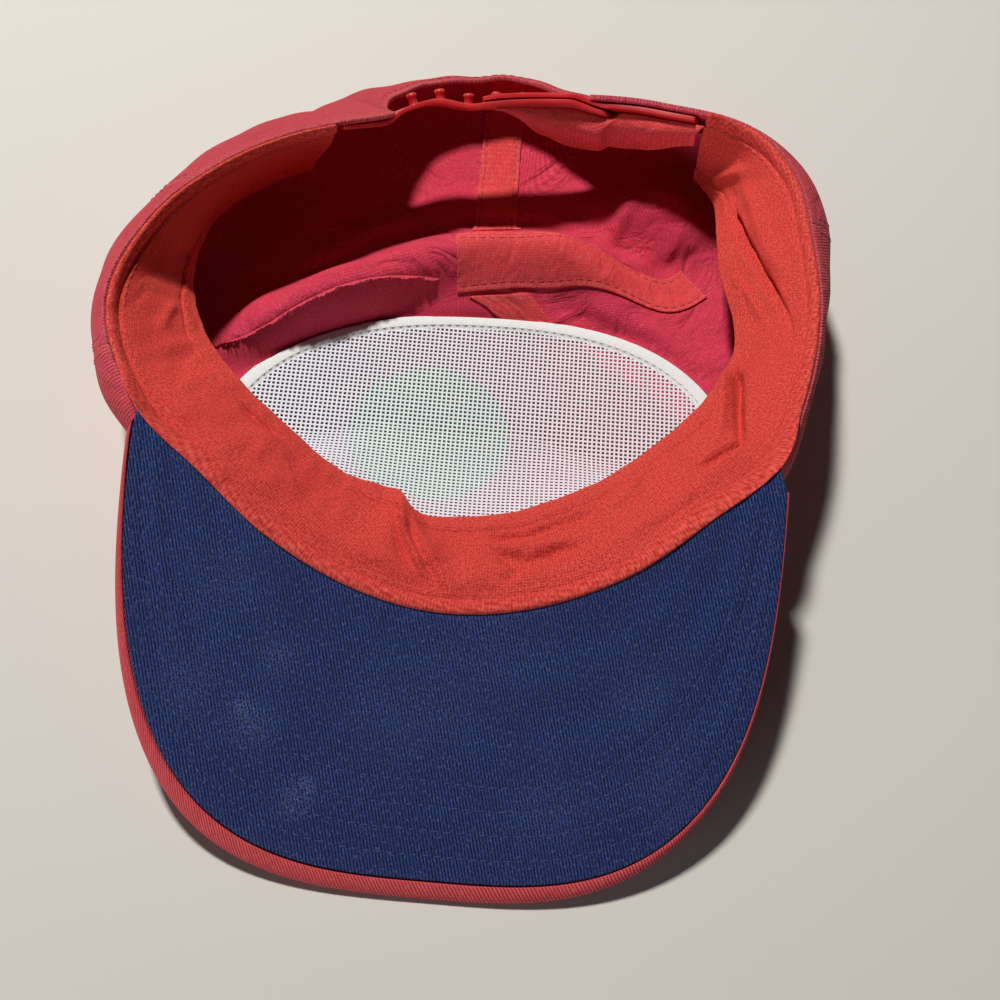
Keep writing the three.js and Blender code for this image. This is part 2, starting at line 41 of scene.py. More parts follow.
# The cap's form in millimetres, drawn round the crown point, where the panel seams meet
capForm = {
    "shift": (2.606, -21.720, 0.0),  # from the drawing to the frame
    "crown": (-4.0, 76.0),
    "wall": 1.6, "band": 1.2, "tape": 0.8, "net": 0.8, "binding": 1.4, "strap": 1.3,  # thicknesses
    "gap": 0.35, "layGap": 0.75, "visorGap": 0.4,
    "panelGap": -0.3,  # sewn panels lap a little
    "hole": 0.3,  # left open at the crown point
    "foldTrim": 0.1,
    "wallShare": 7 / 16,  # share of a panel that is wall, the rest being floor
}
crownX, crownY = capForm["crown"]
# Outline of the net on the front: an arch that also ends the folds
netArch = {"x": 2.0, "y": 8.0, "half": 82.0, "tall": 60.0, "square": 2.4, "tilt": 0.05}

# Sections round the crown: direction, then radius and height of the rim, the bow and the belly,
# the radius of the foot, and radius and height of the sweatband's free edge
sectionNames = ("rimR", "rimZ", "bowR", "bowZ", "bellyR", "bellyZ", "footR", "freeR", "freeZ")
sectionRows = np.array([
    (12.7, 97.5, 50, 116, 43, 118, 0, 92, 79, 24.5),
    (26, 91.5, 48, 105, 39, 118, 4, 86, 85.5, 17.2),
    (41, 73, 46.5, 80, 32, 108, 8, 66, 80, 17),
    (62, 54.5, 46, 67, 30, 109, 10, 52, 60, 18),
    (92, 43.5, 46, 61, 28, 115, 12, 45, 50, 19),
    (111, 43.5, 46, 58, 28, 114, 12, 44, 50, 19),
    (132, 43.3, 47, 62, 31, 112, 12, 46, 52, 19.5),
    (149, 50.5, 48, 81, 39, 100, 4, 56, 62, 20),
    (163, 61.5, 49, 93, 42, 102, 0, 66, 73, 20.5),
    (177, 76, 50, 102, 42, 112, 0, 76, 83.5, 20.3),
    (190, 92.4, 50, 110, 44, 120, 0, 88, 86.5, 19.8),
    (205, 108.5, 48, 119, 42, 120, 0, 94, 85.5, 26.5),
    (222, 112.4, 43.6, 126, 34, 112, 0, 84, 84, 29),
    (234, 110.8, 38, 105, 27, 90, 0, 68, 83, 25.5),
    (246, 113.4, 31.9, 95, 20, 78, 1, 56, 84, 22),
    (270, 118.4, 25.4, 96, 17, 76, 1, 52, 88, 18.5),
    (294, 117.2, 30.2, 98, 20, 78, 1, 56, 86.3, 20.5),
    (308, 114.8, 37.4, 109, 27, 93, 0, 70, 86.4, 25),
    (320, 116, 43.7, 123, 33, 114, 0, 86, 86.6, 29),
    (331, 111, 46, 117, 38, 114, 0, 92, 86.6, 28),
    (344, 105.2, 49, 112, 42, 116, 0, 95, 86, 25),
    (359, 99.7, 50, 112, 42, 116, 0, 94, 78, 26),
], dtype=float)

# Folds of the sunk crown: x, y, turn, reach along, reach near, reach far, rise
crownFolds = [
    (-46, 64.5, 28, 34, 5.5, 11, 18),
    (5, 87, 6, 30, 13, 10, 16),
    (34, 84, -28, 22, 8, 9, 7),
]
# Creases, and one broad fold at the back right, that the solids leave out; in the same order
crownCreases = [
    (-60, 47, 22, 12, 2.0, 3.5, 2.4),
    (-44, 70, 30, 14, 2.0, 3.0, 1.6),
    (-26, 79, 18, 9, 1.6, 2.4, 1.4),
    (-70, 58, 55, 9, 2.4, 3.0, 2.0),
    (20, 71, -24, 10, 1.8, 2.4, 1.2),
    (46, 70, -22, 16, 2.6, 4.0, 2.2),
    (66, 60, -40, 12, 2.6, 3.5, 2.0),
    (54, 111, -8, 21, 10.0, 14.0, 13.5),
    (62, 100, 30, 10, 2.4, 4.0, 2.0),
    (44, 106, 62, 9, 2.0, 3.5, 2.2),
    (30, 104, -34, 12, 3.0, 4.0, 1.8),
    (-30, 101, 24, 16, 4.0, 6.0, 3.0),
    (-52, 86, 32, 14, 3.5, 5.0, 2.2),
    (4, 110, 4, 16, 2.2, 3.0, 1.5),
    (40, 94, -8, 14, 1.8, 2.6, 1.3),
    (-8, 99, -14, 10, 1.6, 2.6, 1.0),
]
# Folds down the slack wall: direction, depth, reach round and down, push outwards
wallFolds = [
    (150, 0.55, 7, 0.16, -2.6), (134, 0.62, 8, 0.14, 2.0), (112, 0.66, 9, 0.1, -1.8), (166, 0.5, 6, 0.22, -2.2),
    (187, 0.55, 5, 0.2, 1.8), (74, 0.64, 8, 0.1, -2.0), (55, 0.56, 7, 0.14, 2.2), (38, 0.5, 6, 0.18, -2.2),
    (22, 0.6, 6, 0.16, 1.6), (4, 0.5, 6, 0.2, -1.8), (346, 0.6, 5, 0.16, 1.2),
]
wallWaves = [(0.6, 9, 1.1, 2), (0.45, 17, 0, 5), (0.25, 31, 0, -4)]  # rise, count round the cap, start, slant

# Panel seams: direction at five places on the way from the rim to the crown point
seamPlaces = np.array([0, 0.44, 0.62, 0.8, 1.0])
panelSeams = {
    "frontLeft": np.array([211, 202, 200.5, 192, 168.0]),
    "frontRight": np.array([331, 330, 333, 337, 340.0]),
    "sideLeft": np.array([181, 179, 172, 158, 142.0]),
    "sideRight": np.array([362, 372, 361, 368, 368.0]),
    "back": np.array([90, 90, 90, 90, 90.0]),
}
cutOut = {"middle": 93, "half": 36, "deep": 0.38}  # half-moon at the back


def smoothStep(low, high, value):
    s = np.clip((value - low) / (high - low), 0.0, 1.0)
    return s * s * (3 - 2 * s)


def along(ends, share):  # a share of the way between two ends
    return ends[0] + (ends[1] - ends[0]) * share


def hump(value, at, wide):  # 1 at its middle, fading to both sides
    return np.exp(-((value - at) / wide) ** 2)


def unit(vectors):
    return vectors / np.maximum(np.linalg.norm(vectors, axis=-1, keepdims=True), 1e-12)


def runAlong(spots):  # length of a line up to each of its spots
    return np.concatenate([[0], np.cumsum(np.linalg.norm(np.diff(spots, axis=0), axis=1))])


def curveThrough(ats, values, place):  # smooth curve through values at known places
    k = np.clip(np.searchsorted(ats, place, side="right"), 2, len(ats) - 2)
    span = ats[k] - ats[k - 1]
    s = (place - ats[k - 1]) / span
    slopeB = (values[k] - values[k - 2]) / (ats[k] - ats[k - 2]) * span
    slopeC = (values[k + 1] - values[k - 1]) / (ats[k + 1] - ats[k - 1]) * span
    return ((2 * s**3 - 3 * s**2 + 1) * values[k - 1] + (s**3 - 2 * s**2 + s) * slopeB
            + (3 * s**2 - 2 * s**3) * values[k] + (s**3 - s**2) * slopeC)


sectionAts = np.concatenate([sectionRows[-3:, 0] - 360, sectionRows[:, 0], sectionRows[:3, 0] + 360])
sectionCurves = {name: np.concatenate([sectionRows[-3:, k + 1], sectionRows[:, k + 1], sectionRows[:3, k + 1]])
                 for k, name in enumerate(sectionNames)}
wallRadii, wallHeights = ("rimR", "bowR", "bellyR", "footR"), ("rimZ", "bowZ", "bellyZ")


def column(name, deg):
    return curveThrough(sectionAts, sectionCurves[name], np.mod(deg, 360.0))


def seamDeg(seam, share):
    ats = np.concatenate([[2 * seamPlaces[0] - seamPlaces[1]], seamPlaces, [2 * seamPlaces[-1] - seamPlaces[-2]]])
    values = np.concatenate([[2 * seam[0] - seam[1]], seam, [2 * seam[-1] - seam[-2]]])
    return curveThrough(ats, values, share)


def fold(x, y, shape):
    cx, cy, turn, run, near, far, high = shape
    c, s = np.cos(np.radians(turn)), np.sin(np.radians(turn))
    length = (x - cx) * c + (y - cy) * s
    width = (y - cy) * c - (x - cx) * s
    return high * np.exp(-(length / run) ** 2 - (width / np.where(width < 0, near, far)) ** 2)


def netPast(x, y):  # 1 on the net's outline, less inside it
    right = np.abs(x - netArch["x"]) / netArch["half"]
    back = np.maximum(y - netArch["y"] - netArch["tilt"] * (x - netArch["x"]), 0.0) / netArch["tall"]
    return right ** netArch["square"] + back ** netArch["square"]


def foldRise(x, y, depth):  # the stiff net keeps folds and creases off the front
    past = netPast(x, y)
    free = smoothStep(1.04, 1.3, past) * smoothStep(0.3, 0.75, depth)
    rise = smoothStep(0.93, 1.12, past) * sum(fold(x, y, shape) for shape in crownFolds)
    rise = rise + free * sum(fold(x, y, shape) for shape in crownCreases)
    return np.maximum(rise - capForm["foldTrim"], 0.0)


def softShare(deg):  # 0 on the stiff front, 1 on the slack cloth
    turn = np.mod(deg, 360.0)
    return 1 - smoothStep(214, 228, turn) * (1 - smoothStep(314, 328, turn))


def wallSlack(deg, depth):  # gentle waves and folds of the slack wall, in and out
    a = np.radians(deg)
    wave = sum(rise * np.sin(count * a + start + slant * depth) for rise, count, start, slant in wallWaves)
    wave = wave * smoothStep(0.02, 0.35, depth)
    for at, low, reach, tall, push in wallFolds:
        off = np.mod(deg - at + 180, 360) - 180
        wave = wave + push * np.exp(-(off / reach) ** 2 - ((depth - low) / tall) ** 2) * smoothStep(0.22, 0.45, depth)
    return wave * softShare(deg) * (1 - smoothStep(0.75, 1.0, depth))


def bezierShares(t):
    return (1 - t) ** 3, 3 * (1 - t) ** 2 * t, 3 * (1 - t) * t * t, t ** 3


def polar(deg, r):
    return crownX + r * np.cos(np.radians(deg)), crownY + r * np.sin(np.radians(deg))


def crownSkin(deg, depth):  # outer face: depth 0 to 1 down the wall, 1 to 2 along the floor
    t = np.clip(depth, 0.0, 1.0)
    shares = bezierShares(t)
    r = sum(share * column(name, deg) for name, share in zip(wallRadii, shares))
    z = sum(share * column(name, deg) for name, share in zip(wallHeights, shares))
    x, y = polar(deg, np.where(depth > 1, column("footR", deg) * (2 - depth), r + wallSlack(deg, t)))
    return np.stack([x, y, z * (depth <= 1) + foldRise(x, y, depth)], -1)


def crownSpot(deg, depth, lift):  # a point lifted off the outer face into the hollow
    around = crownSkin(deg + 0.2, depth) - crownSkin(deg - 0.2, depth)
    down = crownSkin(deg, np.minimum(depth + 0.004, 1.999)) - crownSkin(deg, np.maximum(depth - 0.004, 0.0))
    return crownSkin(deg, depth) + unit(np.cross(around, down)) * np.asarray(lift)[..., None]


def crownReach(deg, depth):  # distance in plan from the crown point
    skin = crownSkin(deg, depth)
    return np.hypot(skin[:, 0] - crownX, skin[:, 1] - crownY)


def crownPlace(x, y):  # direction and depth of a place in plan
    dx, dy = x - crownX, y - crownY
    r, deg = np.hypot(dx, dy), np.degrees(np.arctan2(dy, dx))
    t = np.linspace(1.0, 0.0, 51)
    reach = sum(column(name, deg)[:, None] * share for name, share in zip(wallRadii, bezierShares(t)))
    far = np.clip(np.argmax(reach >= r[:, None], axis=1), 1, len(t) - 1)
    near = far - 1
    pick = np.arange(len(r))
    share = np.clip((r - reach[pick, near]) / np.maximum(reach[pick, far] - reach[pick, near], 1e-9), 0.0, 1.0)
    foot = column("footR", deg)
    return deg, np.where(r <= foot, 2 - r / foot, along((t[near], t[far]), share))


def crownPlan(x, y, lift):
    deg, depth = crownPlace(x, y)
    return crownSpot(deg, depth, lift)


def seamPlan(seam, r):  # a seam in plan at a distance from the crown point
    deg = np.full_like(r, seam[-1])
    for step in range(6):  # closes in on the direction
        deg = seamDeg(seam, 1 - np.abs(r) / column("footR", deg) * (1 - capForm["wallShare"]))
    return polar(np.where(r < 0, seam[-1], deg), r)


def hemDepth(deg):  # depth of the half-moon, 0 beside it
    share = (np.mod(deg, 360.0) - cutOut["middle"]) / cutOut["half"]
    return cutOut["deep"] * np.sqrt(np.maximum(1 - share * share, 0.0))


def wayDepth(deg, v, floorEnd=1.0):  # depth at a share of the way from the hem to the crown point
    onFloor = np.clip((v - capForm["wallShare"]) / (1 - capForm["wallShare"]), 0, 1)
    hem = hemDepth(deg)
    return np.where(onFloor > 0, 1 + onFloor * floorEnd, hem + (1 - hem) * np.clip(v / capForm["wallShare"], 0, 1))


def toFrame(spots):  # millimetres of the drawing to metres of the frame
    return (np.asarray(spots) + np.array(capForm["shift"])) / 1000.0


# Colours and materials
def linear(hexColour):
    parts = [int(hexColour[k:k + 2], 16) / 255 for k in (0, 2, 4)]
    return tuple(c / 12.92 if c <= 0.04045 else ((c + 0.055) / 1.055) ** 2.4 for c in parts) + (1.0,)


def newMaterial(name):
    mat = bpy.data.materials.new(name)
    mat.use_nodes = True
    mat.node_tree.nodes.clear()
    return mat


def addNode(mat, kind, inputs=None, **settings):
    made = mat.node_tree.nodes.new(kind)
    for key, value in settings.items():
        setattr(made, key, value)
    for key, value in (inputs or {}).items():
        if isinstance(value, bpy.types.NodeSocket):
            mat.node_tree.links.new(value, made.inputs[key])
        else:
            made.inputs[key].default_value = value
    return made


def objectSpot(mat):
    return addNode(mat, "ShaderNodeTexCoord").outputs["Object"]


def mark(mat, name):  # a value stored on the mesh
    return addNode(mat, "ShaderNodeAttribute", attribute_name=name).outputs["Fac"]


def noise(mat, where, mm, detail, **more):  # cloudy grain about that coarse
    inputs = {"Vector": where, "Scale": 1000 / mm, "Detail": detail}
    return addNode(mat, "ShaderNodeTexNoise", dict(inputs, **more)).outputs["Fac"]


def mapped(mat, where, **inputs):
    return addNode(mat, "ShaderNodeMapping", dict({"Vector": where}, **inputs)).outputs[0]


def yarns(mat, where, mm, wobble):  # lines that far apart; a Wave texture's own period is 0.31416 at scale 1
    inputs = {"Vector": where, "Scale": 0.31416 / (mm / 1000.0), "Distortion": wobble, "Detail": 2.0,
              "Detail Scale": 1.2}
    return addNode(mat, "ShaderNodeTexWave", inputs).outputs["Fac"]


def ranged(mat, value, low, high, toLow=0.0, toHigh=1.0):
    inputs = {"Value": value, "From Min": low, "From Max": high, "To Min": toLow, "To Max": toHigh}
    return addNode(mat, "ShaderNodeMapRange", inputs).outputs[0]


def maths(mat, operation, *values, **settings):
    return addNode(mat, "ShaderNodeMath", dict(enumerate(values)), operation=operation, **settings).outputs[0]


def mixed(mat, share, first, second):  # colours as sockets or in hex
    first, second = (linear(c) if isinstance(c, str) else c for c in (first, second))
    return addNode(mat, "ShaderNodeMix", {0: share, 6: first, 7: second}, data_type="RGBA").outputs[2]


def finishMaterial(mat, colour, rough, height, bump, inputs, under=None):
    bumped = addNode(mat, "ShaderNodeBump", {"Height": height, "Strength": bump[0], "Distance": bump[1]})
    if under:
        mat.node_tree.links.new(under, bumped.inputs["Normal"])
    inputs = dict(inputs, **{"Base Color": colour, "Roughness": rough, "Normal": bumped.outputs[0]})
    shader = addNode(mat, "ShaderNodeBsdfPrincipled", inputs)
    addNode(mat, "ShaderNodeOutputMaterial", {"Surface": shader.outputs[0]})
    return mat


# What shows through the net: a plain round patch, and a painted bounce tint that runs from bluish on the left to
# pinkish on the right. The tints are those of the patch, the left and the right, for the strands and for the cloth
# behind them, which is painted dark as the net's shade.
patchAndPaintedLight = {"x": -0.0094, "y": 0.0005, "radius": 0.0245, "blur": 0.0012, "across": (-0.06, 0.05),
              "strands": ("D0EEEA", "DCE7F4", "EEDCE8"), "cloth": ("42585A", "3A3644", "50303C")}


def paintedBehindNet(mat, tints):
    where = objectSpot(mat)
    across = addNode(mat, "ShaderNodeSeparateXYZ", {"Vector": where}).outputs[0]
    cloth = mixed(mat, ranged(mat, across, *patchAndPaintedLight["across"]), tints[1], tints[2])
    flat = mapped(mat, where, Location=(-patchAndPaintedLight["x"], -patchAndPaintedLight["y"], 0), Scale=(1, 1, 0))
    away = addNode(mat, "ShaderNodeVectorMath", {0: flat}, operation="LENGTH").outputs["Value"]
    radius, blur = patchAndPaintedLight["radius"], patchAndPaintedLight["blur"]
    return mixed(mat, ranged(mat, away, radius + blur, radius - blur), cloth, tints[0])


# How a cloth looks, unless it says otherwise: turn of the warp and of the weft from it in degrees, yarn, fuzz,
# speck, dye and crumple sizes in mm, the yarns' contrast, and how much each of the rest does. Yarns are drawn
# about twice as coarse as they are, so that they show.
clothLook = {"turn": 28, "cross": 62, "span": (0.25, 0.75), "line": 0.85, "pick": 0.8, "fuzz": 0.55, "speck": 0.7,
             "dye": 22, "crumple": 12, "uneven": 0.4, "fleck": 0.2, "wear": 0.3, "sheen": 0.06, "relief": 0.1}


def wovenCloth(name, look, paintedNetShade=0.0):  # yarns, uneven dye, fuzz, small creases and wear, on the piece's own UV map
    look = dict(clothLook, **look)
    valley, ridge, patch, faded = look["tones"]
    mat = newMaterial(name)
    uv = addNode(mat, "ShaderNodeUVMap", uv_map="cloth").outputs[0]
    wale = mapped(mat, uv, Rotation=(0, 0, np.radians(look["turn"])))
    weft = mapped(mat, uv, Rotation=(0, 0, np.radians(look["turn"] + look["cross"])))
    fuzz = noise(mat, uv, look["fuzz"], 3.0, Roughness=0.6)
    speck = noise(mat, mapped(mat, wale, Scale=(1.0, 0.45, 1.0)), look["speck"], 1.0)  # drawn out along the warp
    dye = noise(mat, uv, look["dye"], 4.0, Roughness=0.6)
    crumple = noise(mat, uv, look["crumple"], 3.0, Roughness=0.45, Distortion=1.1)
    height = maths(mat, "MULTIPLY", yarns(mat, wale, look["line"], 1.0), look["shares"][0])
    height = maths(mat, "MULTIPLY_ADD", yarns(mat, weft, look["pick"], 1.2), look["shares"][1], height)
    height = maths(mat, "MULTIPLY_ADD", fuzz, look["shares"][2], height)
    colour = mixed(mat, ranged(mat, height, *look["span"]), valley, ridge)
    colour = mixed(mat, ranged(mat, dye, 0.38, 0.68, toHigh=look["uneven"]), colour, patch)
    # under the net the colour takes on painted shade, a painted bounce tint and the patch
    if paintedNetShade:
        covered = maths(mat, "MULTIPLY", mark(mat, "covered"), paintedNetShade)
        colour = mixed(mat, covered, colour, paintedBehindNet(mat, patchAndPaintedLight["cloth"]))
    colour = mixed(mat, ranged(mat, speck, 0.57, 0.72, toHigh=look["fleck"]), colour, faded)
    rub = maths(mat, "MULTIPLY_ADD", mark(mat, "edge"), look["wear"], mark(mat, "scuff"))
    rubbed = maths(mat, "MULTIPLY", rub, ranged(mat, fuzz, 0.46, 0.62), use_clamp=True)
    colour = mixed(mat, rubbed, colour, faded)
    wrinkled = addNode(mat, "ShaderNodeBump", {"Height": crumple, "Strength": 1.0, "Distance": look["crumpled"] / 1000})
    shine = {"Sheen Weight": look["sheen"], "Sheen Roughness": 0.5, "Sheen Tint": linear(faded),
             "Specular IOR Level": 0.2, "IOR": 1.53}
    return finishMaterial(mat, colour, ranged(mat, fuzz, 0.0, 1.0, 0.84, 0.97), height, (0.8, look["relief"] / 1000),
                          shine, wrinkled.outputs[0])


# Cotton twill, piece dyed and washed: steep wales, a matt face with pale fuzz on its edges. Its wales are
# about 0.45 mm apart. Tones: valley, ridge, uneven dye, faded.
crownTwill = wovenCloth("cotton twill crimson", {
    "tones": ("962636", "D85058", "B43442", "DC8890"), "shares": (0.5, 0.15, 0.35), "crumpled": 1.8,
    "wear": 0.5, "sheen": 0.08, "relief": 0.16})
# The back of the same twill, which the sun and the washing have faded less
twillReverse = {
    "tones": ("B82844", "EA4862", "C62E4C", "EE94A0"), "shares": (0.17, 0.06, 0.77), "turn": -30, "cross": 60,
    "span": (0.35, 0.65), "pick": 0.7, "fuzz": 0.6, "speck": 0.8, "dye": 24, "crumpled": 2.4,
    "uneven": 0.45, "fleck": 0.14}
twillBack = wovenCloth("cotton twill reverse", twillReverse)
# The same cloth under the net, with the net's shade painted dark into it, a painted bounce tint and the patch
frontLining = wovenCloth("cotton twill reverse under net", dict(twillReverse, crumpled=0.3), 0.8)
# Brushed cotton of plain weave: orange red, soft and matt, its threads barely showing
bandCotton = wovenCloth("brushed cotton orange red", {
    "tones": ("AC2A28", "E85246", "CC3C36", "EE9282"), "shares": (0.1, 0.1, 0.8), "turn": 8, "cross": 90,
    "span": (0.37, 0.63), "line": 0.75, "pick": 0.75, "fuzz": 0.7, "speck": 0.9, "dye": 16, "crumple": 14,
    "crumpled": 1.3, "uneven": 0.35, "fleck": 0.1, "wear": 0.25, "sheen": 0.08})
# Red cotton tape over the seams, a close ribbed weave
tapeCotton = wovenCloth("ribbed cotton tape red", {
    "tones": ("C6303A", "F85A58", "D63C44", "F49C9C"), "shares": (0.12, 0.12, 0.76), "turn": 0, "cross": 90,
    "line": 0.8, "pick": 0.6, "fuzz": 0.6, "speck": 0.8, "dye": 14, "crumple": 8, "crumpled": 1.2,
    "fleck": 0.16, "relief": 0.12})
# Bleached cotton tape, plain weave, slightly grey with use
whiteTape = wovenCloth("bleached cotton tape", {
    "tones": ("E4EAEA", "FDFFFF", "EEF3F2", "CCD6D3"), "shares": (0.25, 0.25, 0.5), "turn": 0, "cross": 90,
    "line": 0.7, "pick": 0.7, "fuzz": 0.5, "speck": 1.1, "dye": 9, "crumple": 20, "crumpled": 0.2,
    "uneven": 0.3, "fleck": 0.3, "wear": 0.0, "sheen": 0.05, "relief": 0.08})


def spunThread(name, dark, light):  # sewing thread, its twist showing as fine light and dark
    mat = newMaterial(name)
    twist = noise(mat, objectSpot(mat), 0.35, 2.0)
    colour = mixed(mat, ranged(mat, twist, 0.35, 0.65), dark, light)
    return finishMaterial(mat, colour, ranged(mat, twist, 0.0, 1.0, 0.5, 0.75), twist, (0.6, 0.0001),
                          {"Sheen Weight": 0.1, "IOR": 1.54, "Specular IOR Level": 0.3})


# Spun polyester sewing threads: round, a little glossier than the cloth they hold
redThread = spunThread("spun polyester thread red", "A8262E", "D04446")
orangeThread = spunThread("spun polyester thread orange red", "C23A32", "E05C4C")
whiteThread = spunThread("spun polyester thread white", "B8BEBE", "EEF1F0")
navyThread = spunThread("spun polyester thread navy", "1C264C", "3A4A80")


def pieceObject(name, bm, materials):
    mesh = bpy.data.meshes.new(name)
    bm.to_mesh(mesh)
    bm.free()
    piece = bpy.data.objects.new(name, mesh)
    bpy.context.scene.collection.objects.link(piece)
    for mat in materials:
        mesh.materials.append(mat)
    mesh.polygons.foreach_set("use_smooth", np.ones(len(mesh.polygons), dtype=bool))
    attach(piece, "root")
    return piece


def standsFor(node):
    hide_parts(node)


def thicken(bm):  # makes a flat grid a slab and says which vertices are the upper ones
    made = bmesh.ops.extrude_face_region(bm, geom=bm.faces[:])
    upper = {vert for vert in made["geom"] if isinstance(vert, bmesh.types.BMVert)}
    return np.array([1.0 if vert in upper else 0.0 for vert in bm.verts])


def moveVerts(bm, spots):
    for vert, spot in zip(bm.verts, spots):
        vert.co = spot
    bmesh.ops.recalc_face_normals(bm, faces=bm.faces[:])


def spread(count, length, soft):  # places along a side, closer together at its rounded ends
    close = soft / length
    steps = np.linspace(0.0, 1.0, count + 1)
    ends = np.array([0.0, 0.12, 0.35, 0.7, 1.0]) * close
    return np.concatenate([ends, steps[(steps > close * 1.3) & (steps < 1 - close * 1.3)], 1 - ends[::-1]])


def storeMark(mesh, name, values):
    mesh.attributes.new(name, "FLOAT", "POINT").data.foreach_set("value", values.astype(np.float32))


def clothSheet(name, size, cells, place, materials, soft=0.8, grain=None, marks=None):
    us, vs = spread(cells[0], size[0], soft), spread(cells[1], size[1], soft)
    bm = bmesh.new()
    bmesh.ops.create_grid(bm, x_segments=len(us) - 1, y_segments=len(vs) - 1, size=0.5)
    side = thicken(bm)
    flat = np.array([vert.co[:2] for vert in bm.verts]) + 0.5
    u = us[np.rint(flat[:, 0] * (len(us) - 1)).astype(int)]
    v = vs[np.rint(flat[:, 1] * (len(vs) - 1)).astype(int)]
    inset = np.minimum(np.minimum(u, 1 - u) * size[0], np.minimum(v, 1 - v) * size[1])
    full = 0.35 + 0.65 * np.sqrt(1 - (1 - np.clip(inset / soft, 0, 1)) ** 2)  # the edges are rounded
    spots = place(u, v, 0.5 + (side - 0.5) * full)
    moveVerts(bm, toFrame(spots))
    piece = pieceObject(name, bm, materials)
    mesh = piece.data
    corner = np.zeros(len(mesh.loops), dtype=np.int32)
    mesh.loops.foreach_get("vertex_index", corner)
    flatSpots = np.stack(grain(u, v) if grain else (u * size[0], v * size[1]), -1) / 1000.0
    mesh.uv_layers.new(name="cloth").data.foreach_set("uv", flatSpots[corner].astype(np.float32).ravel())
    storeMark(mesh, "edge", np.exp(-inset / 1.6))
    for key, much in (marks or {}).items():
        storeMark(mesh, key, much(spots[:, 0], spots[:, 1]))
    if len(materials) > 1:  # the second one is for the inner face
        starts = np.zeros(len(mesh.polygons), dtype=np.int32)
        mesh.polygons.foreach_get("loop_start", starts)
        inner = sum(side[corner[starts + k]] for k in range(3)) > 2.5
        mesh.polygons.foreach_set("material_index", inner.astype(np.int32))
    return piece


def sewRows(name, rows, mat, pitch=3.1, long=2.5, thick=0.5):  # rows of stitches, each a short thread
    bm = bmesh.new()
    stitch = bmesh.new()
    bmesh.ops.create_uvsphere(stitch, u_segments=6, v_segments=4, radius=1.0)
    holder = bpy.data.meshes.new("one_stitch")
    for spots in rows:
        line = toFrame(spots)
        run = runAlong(line) * 1000
        for at in np.arange(pitch / 2, run[-1] - pitch / 2, pitch):
            a, b = (Vector([np.interp(at + step, run, line[:, k]) for k in range(3)]) for step in (-long / 2, long / 2))
            turn = (b - a).to_track_quat("X", "Z").to_matrix().to_4x4()
            size = Matrix.Diagonal(((b - a).length / 2, thick / 2000, thick / 2000, 1.0))
            laid = stitch.copy()
            bmesh.ops.transform(laid, matrix=Matrix.Translation((a + b) / 2) @ turn @ size, verts=laid.verts[:])
            laid.to_mesh(holder)
            laid.free()
            bm.from_mesh(holder)
    stitch.free()
    bpy.data.meshes.remove(holder)
    piece = pieceObject(name, bm, [mat])
    return piece


def laidFlat(place):  # lengths along the cloth, so that its weave isn't stretched over the folds
    def grain(u, v):
        us, vs = np.unique(u), np.unique(v)
        gridU, gridV = (side.ravel() for side in np.meshgrid(us, vs, indexing="ij"))
        spots = place(gridU, gridV, 1.0).reshape(len(us), len(vs), 3)
        around, down = np.zeros((2, len(us), len(vs)))
        around[1:] = np.cumsum(np.linalg.norm(np.diff(spots, axis=0), axis=-1), axis=0)
        down[:, 1:] = np.cumsum(np.linalg.norm(np.diff(spots, axis=1), axis=-1), axis=1)
        i, j = np.searchsorted(us, u), np.searchsorted(vs, v)
        return (around - around[len(us) // 2])[i, j], down[i, j]
    return grain


# Crown panels; cut gives the width, length and area of the flat cloth in metres
crownPanels = {
    "front_panel": {"seams": ("frontLeft", "frontRight"), "size": (220, 170), "cells": (150, 104),
                    "cut": (0.2, 0.17, 0.0202)},
    "side_panel_right": {"seams": ("frontRight", "sideRight"), "size": (70, 190), "cells": (44, 104),
                         "cut": (0.075, 0.19, 0.0070)},
    "back_panel_right": {"seams": ("sideRight", "back"), "turn": -360, "size": (150, 160), "cells": (100, 104),
                         "cut": (0.16, 0.14, 0.0118)},
    "back_panel_left": {"seams": ("back", "sideLeft"), "size": (120, 140), "cells": (90, 104),
                        "cut": (0.14, 0.14, 0.0105)},
    "side_panel_left": {"seams": ("sideLeft", "frontLeft"), "size": (60, 180), "cells": (40, 104),
                        "cut": (0.065, 0.18, 0.0056)},
}


def underNet(x, y):  # 1 where the net covers the front
    return 1 - smoothStep(0.86, 0.96, netPast(x, y))


def panelSheet(name, panel):
    fromSeam, toSeam = (panelSeams[seam] for seam in panel["seams"])
    front = name == "front_panel"

    def place(u, v, side):
        deg = along((seamDeg(fromSeam + panel.get("turn", 0), v), seamDeg(toSeam, v)), u)
        depth = wayDepth(deg, v, 1 - capForm["hole"] / column("footR", deg))
        lap = (0.5 - u) * capForm["panelGap"] / crownReach(deg, depth)
        return crownSpot(deg + np.degrees(lap), depth, side * capForm["wall"])

    return clothSheet(name + "_cloth", panel["size"], panel["cells"], place,
                      [crownTwill, frontLining if front else twillBack], soft=0.6,
                      grain=laidFlat(place), marks={"covered": underNet} if front else None)


for name, panel in crownPanels.items():
    panelSheet(name, panel)
    standsFor(name)


def seamRow(seam, off, start, end, lift):  # a row of stitches beside a seam, off to one side in mm
    v = np.linspace(start, end, 240)
    deg = seamDeg(panelSeams[seam], v)
    depth = wayDepth(deg, v)
    return crownSpot(deg + np.degrees(off / np.maximum(crownReach(deg, depth), 4.0)), depth, lift)


def hemRow(off, lift):  # a row of stitches along the half-moon
    deg = np.linspace(cutOut["middle"] - cutOut["half"] + 1, cutOut["middle"] + cutOut["half"] - 1, 160)
    return crownSpot(deg, hemDepth(deg) + off, lift)


